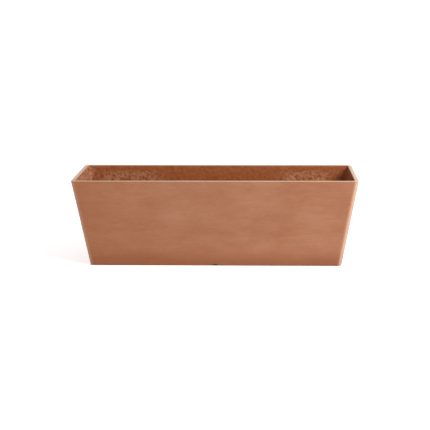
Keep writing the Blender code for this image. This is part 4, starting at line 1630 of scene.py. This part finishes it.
@dataclass
class FillShaft(SubAssembly):
    """The square shaft that takes the refill, with outlets at its foot and ears for the lid."""

    body: Body = Body.INSERT
    half: float = 18 * MM
    wall: float = 2 * MM
    corner: float = 5 * MM
    flange_width: float = 4 * MM
    flange_thick: float = 2 * MM
    outlet: Point = (12 * MM, 8 * MM)
    knuckle: float = 3.5 * MM
    reach: float = 5.6 * MM
    knuckle_width: float = 18 * MM
    ear_width: float = 5 * MM
    running_gap: float = 0.5 * MM
    pin_radius: float = 1.5 * MM
    pin_gap: float = 0.3 * MM
    through: float = 60 * MM
    overhang: float = 1.2 * MM
    lid_thick: float = 2.5 * MM
    lid_lift: float = 0.3 * MM
    deck_top: float = 62 * MM

    @staticmethod
    def axis() -> Vector:
        """The middle of the lid's hinge, from its pin."""
        return middle_of("lid_pin")

    @staticmethod
    def middle() -> Vector:
        """The shaft's middle line, which the hinge's place gives."""
        axis = FillShaft.axis()
        return Vector((axis.x - FillShaft.half - FillShaft.reach, axis.y, 0))

    def eye(self, root: float, low: float, high: float) -> list[Point]:
        """A hinge knuckle in X and Z about the axis: a round eye with a web back to root.

        Args:
            root: Where the web starts, from the shaft's middle.
            low: The web's lower side, from the axis.
            high: The web's upper side.

        Returns:
            Its outline.
        """
        centre = self.half + self.reach
        first = -math.pi - math.asin(low / self.knuckle)
        last = math.pi - math.asin(high / self.knuckle)
        steps = 28
        turns = [first + (last - first) * i / steps for i in range(steps + 1)]
        ring = [(centre + self.knuckle * math.cos(t), self.knuckle * math.sin(t)) for t in turns]
        return [(root, high), (root, low), *ring]

    def shape(self) -> bmesh.types.BMesh:
        """The shaft about its middle line, with its flange, a beaded rim and its ears."""
        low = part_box("fill_shaft")[0][2]
        top = self.axis().z - 0.3 * MM
        seat = self.deck_top + 0.3 * MM
        over = seat + self.flange_thick
        rounded = soften(
            [
                (0, low, 0.3 * MM),
                (0, seat, 0),
                (-self.flange_width, seat, 0.4 * MM),
                (-self.flange_width, over, 0.5 * MM),
                (0, over, 0.6 * MM),
                (0, top, 0.5 * MM),
                (self.wall, top, 0.5 * MM),
                (self.wall, low, 0.3 * MM),
            ],
            closed=True,
            steps=3,
        )
        rings = []
        for inset, z in rounded:
            half, radius = self.half - inset, max(1 * MM, self.corner - inset)
            rings.append((rounded_rectangle(half, half, radius), z))
        shaft = skin(rings, closed=True)
        middle = self.knuckle_width / 2 + self.running_gap + self.ear_width / 2
        ears = []
        for side in (-1, 1):
            outline = self.eye(self.half - self.wall / 2, -self.knuckle, -self.running_gap)
            ear = prism(outline, -self.ear_width / 2, self.ear_width / 2)
            ears.append(moved(ear, (0, side * middle, self.axis().z), THROUGH_FRONT))
        return gathered([shaft, *ears])

    def lid(self) -> bmesh.types.BMesh:
        """The flip lid about the hinge's axis: a dished plate with a lip under it and a tab."""
        half, thick, lift = self.half + self.overhang, self.lid_thick, self.lid_lift
        lip = self.overhang + self.wall + 0.8 * MM
        profile = soften(
            [
                (8 * MM, thick - 0.7 * MM, 0),
                (4.2 * MM, thick - 0.7 * MM, 0.4 * MM),
                (3.2 * MM, thick, 0.4 * MM),
                (0, thick, 0.9 * MM),
                (0, 0, 0.4 * MM),
                (lip, 0, 0),
                (lip, -3 * MM, 0.35 * MM),
                (lip + 1.5 * MM, -3 * MM, 0.35 * MM),
                (lip + 1.5 * MM, 0, 0),
            ],
            steps=4,
        )
        back = -self.half - self.reach
        corner = self.corner + self.overhang
        rings = []
        for inset, z in profile:
            outline = rounded_rectangle(half - inset, half - inset, max(corner - inset, 0.8 * MM))
            rings.append(([(back + a, b) for a, b in outline], z + lift))
        plate = skin(rings)
        tab = [(back - half + a, b) for a, b in rounded_rectangle(6 * MM, 7 * MM, 3 * MM, 8)]
        finger = prism(tab, lift + 0.4 * MM, lift + thick - 0.4 * MM)
        inset = thick / 6
        web = self.eye(self.half - thick, lift + inset, lift + thick - inset)
        knuckle = prism(
            [(a + back, b) for a, b in web], -self.knuckle_width / 2, self.knuckle_width / 2
        )
        moved(knuckle, (0, 0, 0), THROUGH_FRONT)
        return gathered([plate, finger, knuckle])

    def build(self) -> None:
        """Builds the shaft, its lid and its pin, and sets them on the frame."""
        middle, axis = self.middle(), self.axis()
        obj = new_object("refill_shaft", self.shape())
        foot = (0, 0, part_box("fill_shaft")[0][2])
        width, height = self.outlet
        outlets = Pattern("outlets", Operation.CUT, width, 2 * height, 80 * MM, 2 * MM)
        outlets.apply(obj, [(foot, THROUGH_FRONT), (foot, THROUGH_SIDE)], BLACK_PLASTIC)
        bore = round_bore("pin_bore", self.pin_radius + self.pin_gap, self.through)
        at = (self.half + self.reach, 0, axis.z)
        bore.apply(obj, [(at, THROUGH_FRONT)], BLACK_PLASTIC)
        obj.data.transform(Matrix.Translation((middle.x, middle.y, 0)))
        self.fit(obj, BLACK_PLASTIC, "fill_shaft", edge_round=0.2 * MM)

        lid = new_object("refill_lid", self.lid())
        hole = round_bore("lid_bore", self.pin_radius + self.running_gap, self.through)
        hole.apply(lid, [((0, 0, 0), THROUGH_FRONT)], GREY_PLASTIC)
        tab_x = -2 * self.half - self.reach - self.overhang - 3.2 * MM
        grips = Pattern("finger_grips", Operation.ADD, 0.7 * MM, 9 * MM, 0.8 * MM, 0.3 * MM, 3)
        places = [((tab_x + 1.5 * MM * i, 0, 2.35 * MM), UPRIGHT) for i in (-1, 0, 1)]
        grips.apply(lid, places, GREY_PLASTIC)
        lid.data.transform(Matrix.Translation(axis))
        self.fit(lid, GREY_PLASTIC, "fill_lid", Body.LID, edge_round=0.15 * MM)

        low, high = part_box("lid_pin")
        half = (high[1] - low[1]) / 2
        pin = dowel(self.pin_radius, -half, half)
        self.fit(new_object("hinge_pin", moved(pin, axis, THROUGH_FRONT)), STEEL, "lid_pin")


@dataclass
class Gauge(SubAssembly):
    """The float gauge: a guide tube, a clear window, and the float with its rod and flag."""

    body: Body = Body.INSERT
    radius: float = 14 * MM
    wall: float = 2 * MM
    flange_width: float = 4 * MM
    dome_radius: float = 12.5 * MM
    dome_wall: float = 1.6 * MM
    skirt: float = 7 * MM
    rod_radius: float = 1.5 * MM
    rod_gap: float = 0.6 * MM
    gap: float = 0.3 * MM
    grips: int = 28
    deck_top: float = 62 * MM

    def tube(self) -> bmesh.types.BMesh:
        """The guide tube about zero, with its flange and the plate that guides the rod."""
        low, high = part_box("gauge_tube")
        seat = self.deck_top + self.gap
        bore, hole = self.radius - self.wall, self.rod_radius + self.rod_gap
        wide = self.radius + self.flange_width
        profile: list[Corner] = [
            (bore, low[2], 0.3 * MM),
            (self.radius, low[2], 0.3 * MM),
            (self.radius, seat, 0),
            (wide, seat, 0.4 * MM),
            (wide, seat + 2 * MM, 0.5 * MM),
            (self.radius, seat + 2 * MM, 0.6 * MM),
            (self.radius, high[2], 0.4 * MM),
            (hole, high[2], 0.3 * MM),
            (hole, high[2] - 2.5 * MM, 0.3 * MM),
            (bore, high[2] - 2.5 * MM, 0.6 * MM),
        ]
        return turned(soften(profile, closed=True, steps=3))

    def dome(self) -> bmesh.types.BMesh:
        """The window about zero, with two level rings and a skirt over the tube."""
        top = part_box("gauge_dome")[1][2]
        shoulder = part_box("gauge_tube")[1][2] + self.gap
        skirt = self.radius + self.gap
        bore = self.dome_radius - self.dome_wall
        ring = 0.35 * MM
        profile: list[Corner] = [
            (0, top - self.dome_wall, 0),
            (bore, top - self.dome_wall, 2.4 * MM),
            (bore, shoulder, 0),
            (skirt, shoulder, 0.2 * MM),
            (skirt, shoulder - self.skirt, 0.2 * MM),
            (skirt + self.dome_wall, shoulder - self.skirt, 0.4 * MM),
            (skirt + self.dome_wall, shoulder + self.dome_wall, 0.9 * MM),
            (self.dome_radius, shoulder + self.dome_wall, 0.5 * MM),
        ]
        for height in (9 * MM, 30 * MM):
            profile += bead(self.dome_radius, self.dome_radius + ring, shoulder + height)
        profile += [(self.dome_radius, top, 4 * MM), (0, top, 0)]
        return turned(soften(profile, steps=5), closed=False)

    def buoy(self) -> bmesh.types.BMesh:
        """The foam float about zero."""
        low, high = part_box("gauge_float")
        wide, hole = (high[0] - low[0]) / 2, self.rod_radius + self.gap
        profile: list[Corner] = [
            (hole, low[2], 0.3 * MM),
            (wide, low[2], 2.2 * MM),
            (wide, high[2], 2.2 * MM),
            (hole, high[2], 0.3 * MM),
        ]
        return turned(soften(profile, closed=True, steps=6))

    def flag(self) -> bmesh.types.BMesh:
        """The flag about zero: a thick disc with a waist and a blind socket for the rod."""
        low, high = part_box("gauge_flag")
        wide = (high[0] - low[0]) / 2
        mid = (low[2] + high[2]) / 2
        socket = self.rod_radius + self.gap
        inner = mid + self.gap
        profile: list[Corner] = [
            (0, inner, 0),
            (socket, inner, 0),
            (socket, low[2], 0.2 * MM),
            (wide, low[2], 0.8 * MM),
            (wide, mid - 1.2 * MM, 0.4 * MM),
            (wide - 0.7 * MM, mid - 0.5 * MM, 0.2 * MM),
            (wide - 0.7 * MM, mid + 0.5 * MM, 0.2 * MM),
            (wide, mid + 1.2 * MM, 0.4 * MM),
            (wide, high[2], 1.6 * MM),
            (0, high[2], 0),
        ]
        return turned(soften(profile, steps=4), closed=False)

    def build(self) -> None:
        """Builds the gauge and sets it on the frame."""
        at = middle_of("gauge_tube")
        place = Matrix.Translation((at.x, at.y, 0))
        foot = (0, 0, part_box("gauge_tube")[0][2])

        tube = new_object("float_guide", self.tube())
        inlets = Pattern("inlets", Operation.CUT, 6 * MM, 16 * MM, 60 * MM, 1.4 * MM)
        inlets.apply(tube, [(foot, THROUGH_FRONT), (foot, THROUGH_SIDE)], BLACK_PLASTIC)
        tube.data.transform(place)
        self.fit(tube, BLACK_PLASTIC, "gauge_tube")

        dome = new_object("level_window", self.dome())
        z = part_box("gauge_tube")[1][2] + self.gap - 3.4 * MM
        radius = self.radius + self.gap + self.dome_wall - 0.25 * MM
        grips = Pattern("window_grips", Operation.ADD, 0.5 * MM, 0.9 * MM, 5 * MM, 0.2 * MM, 2)
        turns = [math.tau * i / self.grips for i in range(self.grips)]
        places = [((radius * math.cos(t), radius * math.sin(t), z), (0, 0, t)) for t in turns]
        grips.apply(dome, places, CLEAR_PLASTIC)
        dome.data.transform(place)
        self.fit(dome, CLEAR_PLASTIC, "gauge_dome")

        low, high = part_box("gauge_rod")
        rod = dowel(self.rod_radius, low[2], high[2])
        for name, solid, finish, node in (
            ("float_buoy", self.buoy(), FOAM, "gauge_float"),
            ("float_rod", rod, UPRIGHT_STEEL, "gauge_rod"),
            ("level_flag", self.flag(), RED_PLASTIC, "gauge_flag"),
        ):
            self.fit(new_object(name, moved(solid, (at.x, at.y, 0))), finish, node, Body.FLOAT)


@dataclass
class Studio:
    """The floor, the light and the camera.

    The floor is a round sheet that sweeps up far away, so that it is the backdrop all round.
    """

    floor_flat: float = 18.0
    floor_reach: float = 28.0
    floor_rise: float = 5.2
    floor_thick: float = 20 * MM
    floor_drop: float = 0.2 * MM
    curve_steps: int = 16
    sky: float = 0.42
    key: float = 28.0
    key_size: float = 0.9
    key_at: Vector = field(default_factory=lambda: Vector((1.35, -0.95, 1.30)))
    camera_at: Vector = field(default_factory=lambda: Vector((0.0946, -2.1221, 0.5971)))
    camera_yaw: float = math.radians(1.682)
    camera_pitch: float = math.radians(13.281)
    camera_roll: float = math.radians(0.264)
    lens: float = 83.66
    shift: float = -0.035

    def sweep(self) -> list[Point]:
        """The sheet's (radius, height) outline, from the axis up its top and back underneath."""
        reach, thick = self.floor_reach - self.floor_flat, self.floor_thick
        turns = [QUARTER * step / self.curve_steps for step in range(self.curve_steps + 1)]
        curve = [
            (self.floor_flat + reach * math.sin(t), self.floor_rise * (1 - math.cos(t)))
            for t in turns
        ]
        under = [(0.0, -thick), *((r + thick, z - thick) for r, z in curve)]
        return [(r, z - self.floor_drop) for r, z in [*under, *reversed(curve), (0.0, 0.0)]]

    def build(self) -> None:
        """Sets up the floor, the light and the camera."""
        floor = new_object("studio_floor", turned(self.sweep(), closed=False, steps=96))
        floor.data.materials.append(PAPER.material())

        world = bpy.data.worlds.new("soft_sky")
        world.use_nodes = True
        background = world.node_tree.nodes["Background"]
        background.inputs["Color"].default_value = linear("#FFFFFF")
        background.inputs["Strength"].default_value = self.sky
        bpy.context.scene.world = world

        lamp = bpy.data.lights.new("large_soft_key", "AREA")
        lamp.shape = "SQUARE"
        lamp.size = self.key_size
        lamp.energy = self.key
        key = bpy.data.objects.new("large_soft_key", lamp)
        key.location = self.key_at
        key.rotation_euler = self.key_at.to_track_quat("Z", "Y").to_euler()
        bpy.context.scene.collection.objects.link(key)

        lens = bpy.data.cameras.new("camera")
        lens.sensor_width = 36.0
        lens.lens = self.lens
        lens.shift_x = self.shift
        lens.clip_end = 100.0
        camera = bpy.data.objects.new("camera", lens)
        camera.location = self.camera_at
        camera.rotation_euler = (
            QUARTER - self.camera_pitch,
            self.camera_roll,
            self.camera_yaw,
        )
        bpy.context.scene.collection.objects.link(camera)
        bpy.context.scene.camera = camera
        bpy.context.scene.view_settings.view_transform = "Standard"


def main() -> None:
    """Builds the sub-assemblies in order, then the studio."""
    logging.basicConfig(level=logging.INFO, format="%(name)s %(message)s")
    trough = Trough()
    for part in (trough, Drain(), Deck(trough=trough), Baskets(), Pillars(), FillShaft(), Gauge()):
        LOG.info("building %s", type(part).__name__)
        part.build()
    Studio().build()


if __name__ == "__main__":
    main()
